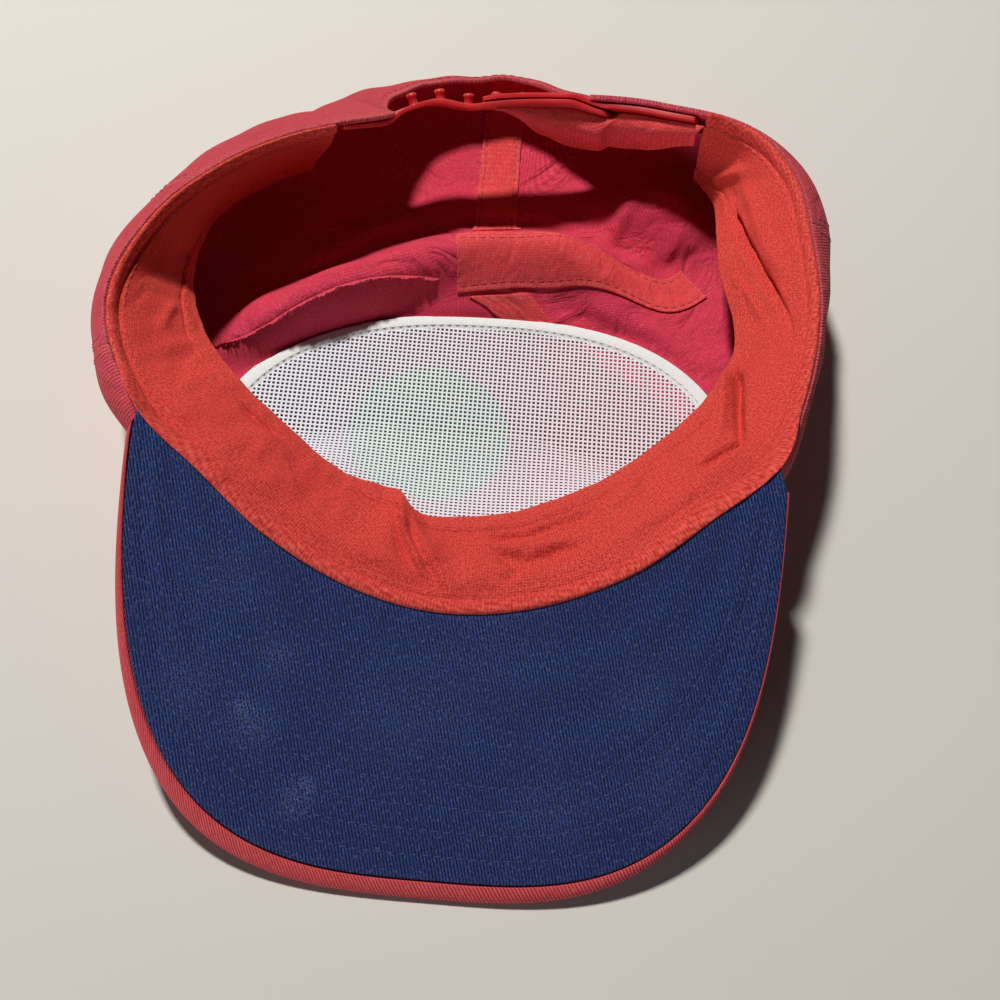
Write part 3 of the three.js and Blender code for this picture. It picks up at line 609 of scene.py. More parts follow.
seamRows = [seamRow(seam, off, 0.03, 0.9, -0.05) for seam in panelSeams for off in (-2.4, 2.4)]
sewRows("crown_outer_stitches", seamRows + [hemRow(0.05, -0.05)], redThread)
sewRows("cut_out_stitches", [hemRow(0.05, capForm["wall"] + 0.05)], redThread)
print("cap: crown panels sewn")

# Raw seam edge on the left of the front, which stands up frayed
rawEdge = {
    "seam": "frontLeft", "ends": (0.47, 0.93), "wide": 1.3, "lean": 0.7, "size": (95, 1.7), "cells": (200, 5),
    "ragged": [(0.22, 61, 0), (0.16, 157, 1), (0.14, 331, 2)],  # rise, count and start of each wave
    "threads": 60, "seed": 11, "long": (1.0, 3.2), "thick": (0.00012, 0.00005),
}


def rawSpot(u, out, lift):
    v = along(rawEdge["ends"], u)
    deg = seamDeg(panelSeams[rawEdge["seam"]], v)
    depth = wayDepth(deg, v)
    low = capForm["wall"] - 0.2
    base = crownSpot(deg, depth, low)
    up = crownSpot(deg, depth, low + 1) - base
    front = unit(crownSpot(deg + 0.5, depth, low) - base)
    lean = unit(up * rawEdge["lean"] + front * (1 - rawEdge["lean"]))
    return base + lean * np.asarray(out)[..., None] + (front - lean * 0.3) * np.asarray(lift)[..., None]


def rawPlace(u, v, side):
    ragged = 1 + sum(rise * np.sin(u * count + start) for rise, count, start in rawEdge["ragged"])
    ends = np.sqrt(np.clip(np.minimum(u, 1 - u) / 0.05, 0.02, 1))
    return rawSpot(u, rawEdge["wide"] * v * ragged * ends, 0.45 * side + 0.3 * v * v * np.sin(u * 40))


def rawPoint(share, out, lift):
    return Vector(toFrame(rawSpot(share, out, lift))[0])


rawCloth = clothSheet("raw_seam_cloth", rawEdge["size"], rawEdge["cells"], rawPlace, [twillBack], soft=0.3)
chance = np.random.default_rng(rawEdge["seed"])
frayBm = bmesh.new()
for k in range(rawEdge["threads"]):
    share = np.array([chance.uniform(0.02, 0.98)])
    long = chance.uniform(*rawEdge["long"])
    root = rawPoint(share, rawEdge["wide"] * chance.uniform(0.4, 0.9), 0.4)
    tip = rawPoint(share + chance.normal(0, 0.012), rawEdge["wide"] + long * 0.45, chance.normal(0.3, 1.4))
    turn = (tip - root).to_track_quat("Z", "Y").to_matrix().to_4x4()
    bmesh.ops.create_cone(frayBm, cap_ends=True, segments=5, radius1=rawEdge["thick"][0], radius2=rawEdge["thick"][1],
                          depth=(tip - root).length, matrix=Matrix.Translation((root + tip) / 2) @ turn)
frayThreads = pieceObject("raw_seam_threads", frayBm, [redThread])
print("cap: raw seam frayed")

# Visor; the scuffs are given by place, reach and strength
visor = {
    "x": 1.0, "half": 85.3, "deep": 108.5, "square": 3.1, "tipY": -110.7, "slope": 0.37, "arch": 2.5, "corner": 7.0,
    "cover": 2.4, "under": 1.0, "ends": (222.4, 319.6), "wrap": (5.5, 4.8, 4.0, 1.9, 1.2), "nip": 0.04,
    "size": (300, 95), "coverCells": (240, 60), "underCells": (240, 90), "rows": (6, 12, 18, 24),
    "flatShare": 0.55,  # share of the cover that is flat, the rest rolling over the edge
    "scuffs": [
        (-49, -75, 6, 0.3), (-36, -92, 4, 0.4), (-33, -88, 2, 0.5), (-44, -58, 5, 0.25), (-60, -40, 9, 0.14),
        (30, -88, 12, 0.14), (-10, -70, 16, 0.12), (52, -60, 12, 0.12), (-66, -66, 8, 0.16), (12, -52, 18, 0.1),
        (62, -84, 9, 0.14), (-52, -71, 2.5, 0.4)],
}
visorThick = visor["cover"] + capForm["gap"] + visor["under"]


def visorFloor(x, y):
    return visor["slope"] * (y - visor["tipY"]) + visor["arch"] * ((x - visor["x"]) / visor["half"]) ** 2


def visorInner(u):
    deg = along(visor["ends"], u)
    return np.stack(polar(deg, column("rimR", deg) + capForm["visorGap"]), -1)


def visorWrap(u):
    wraps = np.array(visor["wrap"])
    place = u * (len(wraps) - 1)
    k = np.minimum(place.astype(int), len(wraps) - 2)
    return along((wraps[k], wraps[k + 1]), smoothStep(0, 1, place - k))


def visorOuter(u):
    grow = visorWrap(u)
    start = np.arcsin((visor["corner"] / visor["deep"]) ** (visor["square"] / 2))
    turn = np.pi + start + (np.pi - 2 * start) * u
    power = 2 / visor["square"]
    x = np.sign(np.cos(turn)) * np.abs(np.cos(turn)) ** power
    y = -np.abs(np.sin(turn)) ** power
    return np.stack([visor["x"] + x * (visor["half"] + grow), y * (visor["deep"] + grow)], -1)


def visorLine(u, inset):  # inner end, inset outer end and the outline at a share of the visor's width
    inner, outer = visorInner(u), visorOuter(u)
    long = np.linalg.norm(outer - inner, axis=-1)
    return inner, along((outer, inner), (inset / long)[:, None]), outer


def onVisor(spot, lift):
    return np.concatenate([spot, (visorFloor(spot[:, 0], spot[:, 1]) + lift)[:, None]], -1)


def underRise(u, inset):  # soft waves between the rows, which pull the cloth down
    puff = 0.18 * np.sin(inset * 0.35 + 6 * u) * smoothStep(2, 12, inset)
    return puff - 0.22 * sum(hump(inset, row, 0.5) for row in visor["rows"]) - 0.25 * np.exp(-inset / 0.8)


def coverPlace(u, v, side):
    inner, edge, outer = visorLine(u, visorWrap(u))
    past = np.clip((v - visor["flatShare"]) / (1 - visor["flatShare"]), 0, 1)
    spot = along((inner, edge), np.clip(v / visor["flatShare"], 0, 1)[:, None])
    spot = along((spot, outer), np.sin(past * np.pi / 2)[:, None])
    half = visorThick / 2
    roll = np.maximum(np.cos(past * np.pi / 2), 0.05)
    low = np.where(past > 0, half - half * roll, 0.0)
    high = half + (half + 0.25 * np.sin(past * np.pi)) * roll
    high = along((visor["cover"], high), smoothStep(0, 0.08, past))
    return onVisor(spot, along((low, high), side))


def underPlace(u, v, side):
    inner, edge = visorLine(u, visorWrap(u) + 0.12)[:2]
    spot = along((inner, edge), v[:, None])
    nip = capForm["gap"] * (1 - smoothStep(0, visor["nip"], np.minimum(u, 1 - u)))
    spot[:, 0] += np.where(u < 0.5, nip, -nip)
    rise = underRise(u, np.linalg.norm(edge - spot, axis=-1))
    return onVisor(spot, visor["cover"] + capForm["gap"] + (visor["under"] + rise) * side)


def underGrain(u, v):  # the underside is nearly flat, so its weave runs straight across it
    spot = underPlace(u, v, 0.0)
    return spot[:, 0], spot[:, 1] * 1.07


def visorScuffs(x, y):  # pale rubbed places, by plan
    rubbed = sum(much * hump(x, cx, wide) * hump(y, cy, wide) for cx, cy, wide, much in visor["scuffs"])
    return np.clip(rubbed, 0, 1)


def visorRow(inset, cloth):  # a row of stitches that follows the visor's edge
    u = np.linspace(0.03, 0.97, 400)
    inner, outer = visorLine(u, 0.0)[::2]
    u = u[np.linalg.norm(outer - inner, axis=-1) > visorWrap(u) + inset + 4]  # the rows end where the visor narrows
    edge = visorLine(u, visorWrap(u) + inset)[1]
    return onVisor(edge, visorThick + underRise(u, inset) + 0.03 if cloth == "under" else -0.05)


# Navy cotton twill: steep fine wales with paler warp, rubbed pale where the visor has been handled
navyTwill = wovenCloth("cotton twill navy", {
    "tones": ("050A24", "304382", "18244A", "7080B4"), "shares": (0.42, 0.08, 0.5), "turn": -15, "cross": 58,
    "span": (0.32, 0.68), "fuzz": 0.6, "speck": 0.5, "dye": 16, "crumple": 16, "crumpled": 0.7,
    "uneven": 0.3, "fleck": 0.3, "wear": 0.2, "sheen": 0.02, "relief": 0.14})
# The crown's twill again, painted lighter where it rolls over the visor's edge, standing in for light bounced onto it
visorTwillPaintedLight = wovenCloth("cotton twill crimson painted lighter", {
    "tones": ("A82C36", "E06064", "BE3A44", "E49494"), "shares": (0.6, 0.1, 0.3), "span": (0.33, 0.67),
    "crumple": 14, "crumpled": 0.7, "uneven": 0.35, "wear": 0.4, "sheen": 0.08, "relief": 0.16})

cover = clothSheet("visor_cover_cloth", visor["size"], visor["coverCells"], coverPlace, [visorTwillPaintedLight], soft=0.4,
                   grain=laidFlat(coverPlace))
standsFor("visor_cover")
under = clothSheet("visor_underside_cloth", visor["size"], visor["underCells"], underPlace, [navyTwill], soft=0.6,
                   grain=underGrain, marks={"scuff": visorScuffs})
standsFor("visor_underside")
underRows, coverRows = ([visorRow(row, cloth) for row in visor["rows"]] for cloth in ("under", "cover"))
underStitches = sewRows("visor_under_stitches", underRows, navyThread)
coverStitches = sewRows("visor_cover_stitches", coverRows, redThread)
print("cap: visor covered")

# Sweatband: creases as direction and share down the band, with reach to either side and rise in mm
sweatband = {
    "ends": (150.5, 392.5), "welt": 1.1, "pinch": (262, 3.0, 3.0), "size": (420, 32), "cells": (560, 72),
    "mmPerDeg": 1.62,  # length of the band for each degree, for its creases
    "front": (214, 226, 316, 328), "onVisor": (213, 223.5, 318.5, 329), "lip": 0.6, "lipShare": 0.075,
    "notch": (248, 260.0, 264.6, 276), "notchReach": (0.12, -0.05), "depth": 1.5, "clear": 1.7,
    "bead": (0.03, 0.026), "groove": (0.085, 0.018), "hem": (0.79, 0.012, 0.80, 0.815), "rows": (0.84, 0.125),
    "waves": [(0.3, 0.21, 3, 0), (0.22, 0.47, -5, 1), (0.1, 0.93, 6, 0)],  # rise, rate, slant, start
    "creases": [
        ([(261.3, 1.0), (262.3, 0.79), (263.5, 0.65), (265.5, 0.47), (267, 0.32), (270, 0.14)], 6.0, 0.7, 3.2),
        ([(263, 0.95), (264.8, 0.68), (266.8, 0.48), (268.5, 0.32), (271.2, 0.12)], 1.0, 3.0, -2.2),
        ([(276.5, 0.63), (280, 0.49), (282.5, 0.40), (285.5, 0.40), (289, 0.43), (292.5, 0.37)], 1.4, 2.6, -1.9),
        ([(277.5, 0.7), (281.5, 0.56), (286, 0.52), (292, 0.5)], 2.2, 1.6, 0.7),
        ([(278.5, 0.21), (281.5, 0.32), (285, 0.41)], 1.5, 1.3, -1.3),
        ([(275.5, 0.80), (279.5, 0.70), (284.5, 0.68), (290, 0.71), (296.5, 0.64)], 1.4, 1.8, -1.5),
        ([(336, 0.93), (333, 0.8), (327, 0.64), (323, 0.5), (320.3, 0.36)], 1.7, 0.8, -3.4),
        ([(337, 0.98), (331, 0.86), (325, 0.72), (319.5, 0.55)], 1.6, 2.4, 1.8),
        ([(312, 0.44), (316, 0.42), (318.5, 0.40), (321.2, 0.35)], 0.9, 1.5, -1.7),
        ([(300, 0.22), (305, 0.16), (311, 0.13)], 1.0, 1.2, -0.6),
        ([(296, 0.6), (301, 0.66), (308.5, 0.82)], 2.6, 2.2, 0.9),
        ([(226, 0.80), (232, 0.77), (238, 0.84)], 1.0, 1.5, -0.8),
        ([(231, 0.64), (243, 0.66)], 2.4, 2.4, 0.6),
        ([(201.5, 0.73), (205, 0.6), (208.5, 0.49)], 1.6, 2.0, 0.6),
        ([(212, 0.9), (215, 0.6), (221, 0.35)], 1.8, 2.6, -0.5),
        ([(382, 0.62), (375, 0.75), (366, 0.65), (353.5, 0.46), (341.5, 0.24)], 0.9, 1.9, -2.3),
        ([(382, 0.5), (366, 0.48), (351, 0.3)], 3.0, 2.5, 1.2),
        ([(360, 0.9), (352, 0.72), (345, 0.6)], 1.4, 2.0, 0.9),
        ([(186, 0.9), (190, 0.5)], 3.0, 3.0, -0.6),
        ([(170, 0.85), (176, 0.4)], 3.0, 3.0, 0.8),
        ([(388, 0.8), (380, 0.3)], 2.2, 2.6, 1.0),
    ],
}


def bandRelief(deg, share, front):
    perDeg, wide = sweatband["mmPerDeg"], sweatband["size"][1]
    a, b = deg * perDeg, share * wide
    relief = sum(rise * np.sin(a * rate + slant * share + start) for rise, rate, slant, start in sweatband["waves"])
    relief *= smoothStep(0.1, 0.35, share) * (1 - 0.5 * smoothStep(0.85, 1.0, share))
    for line, near, far, rise in sweatband["creases"]:
        best, height = np.full_like(a, 1e9), np.zeros_like(a)
        for k in range(len(line) - 1):
            pa, pb = line[k][0] * perDeg, line[k][1] * wide
            da, db = line[k + 1][0] * perDeg - pa, line[k + 1][1] * wide - pb
            t = np.clip(((a - pa) * da + (b - pb) * db) / np.hypot(da, db)**2, 0, 1)
            off = np.hypot(a - pa - t * da, b - pb - t * db)
            hand = np.sign((a - pa) * db - (b - pb) * da)
            part = (k + t) / (len(line) - 1)
            fade = smoothStep(-0.02, 0.3, part) * (1 - 0.8 * smoothStep(0.7, 1.02, part))
            lift = rise * sweatband["depth"] * fade * hump(off, 0, np.where(hand < 0, near, far))
            height = np.where(off < best, lift, height)
            best = np.minimum(off, best)
        relief += height
    clear = sweatband["clear"] * smoothStep(0.1, 0.3, share) * (1 - 0.5 * smoothStep(0.7, 1.0, share))
    relief += front * clear  # clear of the net
    least = -0.35 * front - 4.5 * (1 - front)
    relief = np.where(relief < 0, least * np.tanh(relief / least), relief)
    return relief * smoothStep(0.06, 0.2, share)


def between(marks, deg):  # 1 between the middle two of four directions, 0 beyond the outer ones
    return smoothStep(marks[0], marks[1], deg) * (1 - smoothStep(marks[2], marks[3], deg))


def across(way):  # square to a line in a section, towards the hollow
    return np.stack([way[:, 1], -way[:, 0]], -1)


def bandSpot(deg, share, side):
    front = between(sweatband["front"], deg)
    rim, bow, free = (np.stack([column(r, deg), column(z, deg)], -1)
                      for r, z in (("rimR", "rimZ"), ("bowR", "bowZ"), ("freeR", "freeZ")))
    lean = unit(bow - rim)
    stand = capForm["wall"] + capForm["layGap"] + front * (capForm["net"] + capForm["gap"])
    top = rim + across(lean) * stand[:, None]
    run = unit(free - top)
    top = top - run * (sweatband["welt"] * front)[:, None]
    a, b, c, d = sweatband["notch"]
    more, less = sweatband["notchReach"]
    reach = more * between((a, b, b, c), deg) + less * between((b, c, c, d), deg)
    spot = top + (free - top) * (share * (1 + reach * smoothStep(0.3, 1.0, share)))[:, None]
    bead = hump(share, *sweatband["bead"])
    foldAt, foldWide, hemFrom, hemTo = sweatband["hem"]
    thick = capForm["band"] + 0.8 * bead - 0.7 * hump(share, *sweatband["groove"])
    thick = thick + 0.4 * smoothStep(hemFrom, hemTo, share) - 0.35 * hump(share, foldAt, foldWide)
    spot = spot + across(run) * (side * thick + bandRelief(deg, share, front))[:, None]
    high = side * (0.9 + 0.6 * bead)
    onRim = rim + across(lean) * 0.45 - lean * (0.2 + high)[:, None]  # closes the end of the crown's cloth
    over = column("rimR", deg) + capForm["visorGap"] + sweatband["lip"]
    overVisor = np.stack([over, visorFloor(*polar(deg, over)) + visorThick - 0.25 + high], -1)
    sewn = between(sweatband["onVisor"], deg)[:, None]
    lip = (1 - smoothStep(0, sweatband["lipShare"], share))[:, None]
    spot = spot * (1 - lip) + (onRim * (1 - sewn) + overVisor * sewn) * lip
    mid, wide, rise = sweatband["pinch"]
    return np.stack([*polar(deg, spot[:, 0]), spot[:, 1] + rise * hump(deg, mid, wide) * share], -1)


def bandPlace(u, v, side):
    return bandSpot(along(sweatband["ends"], u), v, side)


def bandRow(share):
    deg = np.linspace(sweatband["ends"][0] + 1, sweatband["ends"][1] - 1, 900)
    return bandSpot(deg, np.full_like(deg, share), 1.02)


band = clothSheet("sweatband_cloth", sweatband["size"], sweatband["cells"], bandPlace, [bandCotton], soft=0.9)
standsFor("sweatband")
bandStitches = sewRows("sweatband_stitches", [bandRow(share) for share in sweatband["rows"]],
                       orangeThread, thick=0.34)
print("cap: sweatband sewn in")

# Net stiffener inside the front, with real holes, and its binding
netting = {
    "reach": 0.985, "bind": 4.8, "bindSize": (230, 5.3), "bindCells": (240, 16), "turns": (311, 233), "start": 5.0,
    "pitch": 1.4, "strand": 0.39, "thick": 0.5, "under": 2.6, "width": 168.0, "ends": (-60, 72),
}


def archSpot(share):
    x = -netting["reach"] * np.cos(np.pi * share)
    y = (1 - np.abs(x) ** netArch["square"]) ** (1 / netArch["square"])
    return np.stack([netArch["x"] + netArch["half"] * x,
                     netArch["y"] + netArch["tall"] * y + netArch["tilt"] * netArch["half"] * x], -1)


def netEdge(u, inset):
    run = unit(archSpot(np.minimum(u + 0.002, 1)) - archSpot(np.maximum(u - 0.002, 0)))
    return archSpot(u) + across(run) * np.asarray(inset)[..., None]


def insideOutline(x, y, outline):
    inside = np.zeros(len(x), dtype=bool)
    for (ax, ay), (bx, by) in zip(outline, np.roll(outline, -1, axis=0)):
        crosses = (ay > y) != (by > y)
        inside ^= crosses & (x < ax + (y - ay) * (bx - ax) / (by - ay if by != ay else 1e-9))
    return inside


# Stiff knitted net of white polyester: smooth bright strands round small square holes
netPolyester = newMaterial("knitted polyester net white")
netGrime = noise(netPolyester, objectSpot(netPolyester), 14, 3.0)
netFibre = noise(netPolyester, objectSpot(netPolyester), 0.5, 2.0)
netWhite = mixed(netPolyester, ranged(netPolyester, netGrime, 0.35, 0.7), "FAFAFC", "EEEFF4")
# painted light on the strands: the patch shows through them, with a bluish to pinkish bounce tint
netPaintedTint = paintedBehindNet(netPolyester, patchAndPaintedLight["strands"])
netColour = mixed(netPolyester, 0.65, netWhite, netPaintedTint)  # the strands take on the painted tint
finishMaterial(netPolyester, netColour, ranged(netPolyester, netFibre, 0.0, 1.0, 0.45, 0.65), netFibre, (0.4, 0.0001),
               {"IOR": 1.57, "Sheen Weight": 0.1, "Specular IOR Level": 0.4})


def netSheet():
    ys = np.linspace(*netting["ends"], 400)
    run = runAlong(crownPlan(netArch["x"], ys, 0.0))
    pitch = netting["pitch"]
    columns, rows = int(netting["width"] / pitch), int(run[-1] / pitch)

    def plan(flat):  # from the flat net to the drawing's plan
        return flat[:, 0] + netArch["x"], np.interp(flat[:, 1] + rows * pitch / 2, run, ys)

    bm = bmesh.new()
    bmesh.ops.create_grid(bm, x_segments=columns, y_segments=rows, size=0.5)
    bmesh.ops.scale(bm, vec=(columns * pitch, rows * pitch, 1), verts=bm.verts[:])
    turn = np.linspace(*netting["turns"], 80)
    outline = np.concatenate([netEdge(np.linspace(0, 1, 160), netting["under"]),
                              np.stack(polar(turn, column("rimR", turn) - netting["start"] - 0.4), -1)])
    kept = insideOutline(*plan(np.array([face.calc_center_median()[:2] for face in bm.faces])), outline)
    bmesh.ops.delete(bm, geom=[face for face, keep in zip(bm.faces[:], kept) if not keep], context="FACES")
    cells = bm.faces[:]
    bmesh.ops.inset_individual(bm, faces=cells, thickness=netting["strand"])
    bmesh.ops.delete(bm, geom=cells, context="FACES")  # the holes
    side = thicken(bm)
    lift = capForm["wall"] + capForm["layGap"] + 0.1 + netting["thick"] * side
    moveVerts(bm, toFrame(crownPlan(*plan(np.array([vert.co[:2] for vert in bm.verts])), lift)))
    return pieceObject("front_mesh_net", bm, [netPolyester])


def bindingPlace(u, v, side):
    spot = netEdge(u, (netting["bind"] + 0.5) * v)
    puffed = 0.75 + 0.25 * np.sin(np.clip(v / 0.84, 0, 1) * np.pi) ** 0.5
    thick = capForm["binding"] * np.where(v < 0.86, puffed, 1.0) * (1 - 0.5 * smoothStep(0.84, 0.88, v))
    return crownPlan(spot[:, 0], spot[:, 1], capForm["wall"] + capForm["layGap"] + thick * side)


def rowsOn(place, shares, side, count):  # rows of stitches along a tape
    u = np.linspace(0.01, 0.99, count)
    return [place(u, v, side) for v in shares]


net = netSheet()
standsFor("front_mesh")
binding = clothSheet("mesh_binding_tape", netting["bindSize"], netting["bindCells"], bindingPlace, [whiteTape],
                     soft=0.9)
standsFor("mesh_binding")
bindStitches = sewRows("binding_stitches", rowsOn(bindingPlace, [0.8], 1.0, 700), whiteThread,
                       pitch=2.6, long=2.0, thick=0.4)
print("cap: net bound")

# Seam tapes; their ends are shares of the way to the crown point, or mm from it for the right one
seamTapes = {
    "wide": 13.0, "hem": 1.6, "low": capForm["wall"] + 0.12, "thick": capForm["tape"] - 0.1,
    "back": {"seam": "back", "ends": (1.0 / 16, 12.7 / 16), "inset": 0.5, "size": (80, 13), "cells": (90, 18)},
    "right": {"seam": "sideRight", "turn": -360, "ends": (-4.0, 78.0), "inset": 1.4, "size": (114, 13),
              "cells": (140, 18)},
    "front": {"x": 0.2, "y": -2.6, "top": 18.5, "skew": 2.4, "from": 0.524, "wide": 0.068, "size": (18, 6),
              "cells": (28, 12)},
}
tapeHems = (seamTapes["hem"] / seamTapes["wide"], 1 - seamTapes["hem"] / seamTapes["wide"])


def tapeLift(v, side):  # the rows of stitches pull the tape down
    dip = 0.25 * sum(hump(v * seamTapes["wide"], hem * seamTapes["wide"], 0.5) for hem in tapeHems)
    return seamTapes["low"] + (seamTapes["thick"] - dip) * side


def rightTapePlace(u, v, side):
    tape = seamTapes["right"]
    seam = panelSeams[tape["seam"]] + tape["turn"]
    r = along(tape["ends"], u)
    x, y = seamPlan(seam, r)
    ax, ay = seamPlan(seam, r - 0.5)
    bx, by = seamPlan(seam, r + 0.5)
    off = (seamTapes["wide"] * v - tape["inset"]) / np.hypot(bx - ax, by - ay)
    return crownPlan(x - (by - ay) * off, y + (bx - ax) * off, tapeLift(v, side))


def backTapePlace(u, v, side):
    tape = seamTapes["back"]
    way, seam = along(tape["ends"], u), panelSeams[tape["seam"]][0]
    reach = crownSkin(seam, wayDepth(seam, way, 0.98))[:, 1] - crownY
    deg = seam - np.degrees((seamTapes["wide"] * v - tape["inset"]) / reach)
    return crownSpot(deg, wayDepth(deg, way, 0.98), tapeLift(v, side))


def frontTapePlace(u, v, side):
    tape = seamTapes["front"]
    start = np.stack([crownX + tape["x"] + tape["top"] * u,
                      crownY + tape["y"] + tape["skew"] * u], -1)
    spot = along((start, netEdge(tape["from"] + tape["wide"] * u, -0.4)), v[:, None])
    return crownPlan(spot[:, 0], spot[:, 1], seamTapes["low"] + (seamTapes["thick"] - 0.1) * side)


tapePlaces = {"back": backTapePlace, "right": rightTapePlace, "front": frontTapePlace}
for key, place in tapePlaces.items():
    clothSheet("seam_tape_" + key + "_cloth", seamTapes[key]["size"], seamTapes[key]["cells"], place,
                            [tapeCotton], soft=0.5)
    standsFor("seam_tape_" + key)
tapeRows = rowsOn(backTapePlace, tapeHems, 1.02, 300) + rowsOn(rightTapePlace, tapeHems, 1.02, 300)
tapeStitches = sewRows("tape_stitches", tapeRows, redThread)
print("cap: seams taped")

# Snap strap: two flat moulded halves, pegs on one and holes in the other
strap = {
    "pegs": (52, 147), "holes": (35, 92), "wide": 18.0, "steep": 50, "steeper": 12, "turn": 4, "depth": (0.02, 0.22),
    "pitch": 9.2, "pegCount": 6, "pegFirst": 117.3, "holeCount": 5, "holeEnds": (39, 88), "pegRadius": 1.5,
    "pegTall": 3.6, "holeRadius": 2.1, "part": (94, 112), "cell": 1.15, "cells": 16, "roundEnd": 5.0,
    "stand": capForm["wall"] + capForm["layGap"], "span": (160, 10),
    "pegProfile": [(1.25, 0.0), (1.0, 0.12), (0.9, 0.3), (0.9, 0.62), (1.1, 0.72), (1.12, 0.84), (0.85, 0.96),
                   (0.4, 1.0), (0.0, 1.0)],  # radius and height as shares
}

# Soft polyethylene, injection moulded and dyed through: satin, a little waxy, light bleeding in at thin edges
strapPlastic = newMaterial("moulded polyethylene red")
plasticSkin = noise(strapPlastic, objectSpot(strapPlastic), 0.8, 3.0)
plasticHaze = noise(strapPlastic, objectSpot(strapPlastic), 9, 3.0)
plasticColour = mixed(strapPlastic, ranged(strapPlastic, plasticHaze, 0.35, 0.7), "C4232C", "D43B40")
finishMaterial(strapPlastic, plasticColour, ranged(strapPlastic, plasticHaze, 0.0, 1.0, 0.3, 0.5), plasticSkin,
               (0.25, 0.00006), {"IOR": 1.51, "Subsurface Weight": 0.7, "Subsurface Radius": (1.0, 0.12, 0.1),
                                 "Subsurface Scale": 0.003})


def pegLift(deg):
    return strap["stand"] + (capForm["strap"] + capForm["layGap"]) * (1 - smoothStep(*strap["part"], deg))


def holeLift(deg):
    return strap["stand"]


def strapSpot(deg, share, lift):  # share runs from the rim; the strap bridges the cut-out, its ends sewn to the wall
    mid, half = cutOut["middle"], cutOut["half"]
    steep = np.radians(strap["steep"] + strap["steeper"] * (1 - smoothStep(mid - half, mid, deg)))
    stand = lift - strap["stand"]
    r = column("rimR", deg) + strap["wide"] * share * np.cos(steep) - stand * np.sin(steep)
    z = column("rimZ", deg) - strap["wide"] * share * np.sin(steep) - stand * np.cos(steep)
    onWall = crownSpot(deg, along(strap["depth"], share), lift)
    sewn = smoothStep(-strap["turn"], strap["turn"], np.abs(deg - mid) - half)[:, None]
    return np.stack([*polar(deg, r), z], -1) * (1 - sewn) + onWall * sewn


strapDegs = np.linspace(*strap["span"], 1200)
strapRun = runAlong(strapSpot(strapDegs, 0.5, 0.0))
strapRun = strapRun - np.interp(-strap["pegFirst"], -strapDegs, strapRun)  # counted from the first peg


def strapDeg(run):
    return np.interp(run, strapRun, strapDegs)


def addPeg(bm, foot, head):  # a round peg with a swelled, rounded head, spun from its profile
    tall, radius = (head - foot).length, strap["pegRadius"] / 1000
    chain = [bm.verts.new((r * radius, 0, z * tall)) for r, z in strap["pegProfile"]]
    edges = [bm.edges.new(pair) for pair in zip(chain[:-1], chain[1:])]
    bmesh.ops.spin(bm, geom=chain + edges, axis=(0, 0, 1), cent=(0, 0, 0), angle=2 * np.pi, steps=14, use_merge=True)
    parts, seen = list(chain), set(chain)
    while parts:  # all that hangs together with the profile
        for vert in [vert for edge in parts.pop().link_edges for vert in edge.verts]:
            if vert not in seen:
                seen.add(vert)
                parts.append(vert)
    bmesh.ops.remove_doubles(bm, verts=list(seen), dist=1e-6)
    seen = [vert for vert in seen if vert.is_valid]
    bmesh.ops.recalc_face_normals(bm, faces=list({face for vert in seen for face in vert.link_faces}))
    turn = (head - foot).to_track_quat("Z", "Y").to_matrix().to_4x4()
    bmesh.ops.transform(bm, matrix=Matrix.Translation(foot) @ turn, verts=seen)


def punchHole(bm, station):  # a block of cells gives way to a round hole
    cell = strap["cell"]
    block = [f for f in bm.faces
             if max(abs(f.calc_center_median().x - station), abs(f.calc_center_median().y)) < 2 * cell]
    rim = [e for f in block for e in f.edges if sum(g in block for g in e.link_faces) == 1]
    bmesh.ops.delete(bm, geom=block, context="FACES")
    turn = Matrix.Translation((station, 0, 0)) @ Matrix.Rotation(np.radians(45), 4, "Z")
    ring = bmesh.ops.create_circle(bm, cap_ends=False, segments=16, radius=strap["holeRadius"], matrix=turn)
    loop = list({e for vert in ring["verts"] for e in vert.link_edges})
    bmesh.ops.bridge_loops(bm, edges=[e for e in rim if e.is_valid] + loop)


def strapHalf(name, ends, liftOf, holes, pegs, roundLast):
    cell = strap["cell"]
    wide = strap["cells"] * cell
    first = int(np.ceil(np.interp(-ends[1], -strapDegs, strapRun) / cell))
    last = int(np.floor(np.interp(-ends[0], -strapDegs, strapRun) / cell))
    bm = bmesh.new()
    bmesh.ops.create_grid(bm, x_segments=last - first, y_segments=strap["cells"], size=0.5)
    bmesh.ops.scale(bm, vec=((last - first) * cell, wide, 1), verts=bm.verts[:])
    bmesh.ops.translate(bm, vec=((first + last) / 2 * cell, 0, 0), verts=bm.verts[:])
    for station in holes:
        punchHole(bm, station)
    side = thicken(bm)
    run, off = np.array([vert.co[:2] for vert in bm.verts]).T
    tip = np.clip(np.abs(run - (last if roundLast else first) * cell) / strap["roundEnd"], 0, 1)
    off = off / wide * (0.45 + 0.55 * np.sqrt(1 - (1 - tip) ** 2))  # the free end is rounded
    deg = strapDeg(run)
    moveVerts(bm, toFrame(strapSpot(deg, 0.5 - off, liftOf(deg) + capForm["strap"] * side)))
    for station in pegs:
        where = strapDeg(np.array([float(station)]))
        foot, head = (Vector(toFrame(strapSpot(where, 0.5, liftOf(where) + out))[0])
                      for out in (0.4, -strap["pegTall"]))
        addPeg(bm, foot, head)
    half = pieceObject(name + "_half", bm, [strapPlastic])
    softened = half.modifiers.new("softened edges", "BEVEL")
    softened.width, softened.segments = 0.00022, 2
    softened.limit_method, softened.angle_limit = "ANGLE", np.radians(50)
    standsFor(name)


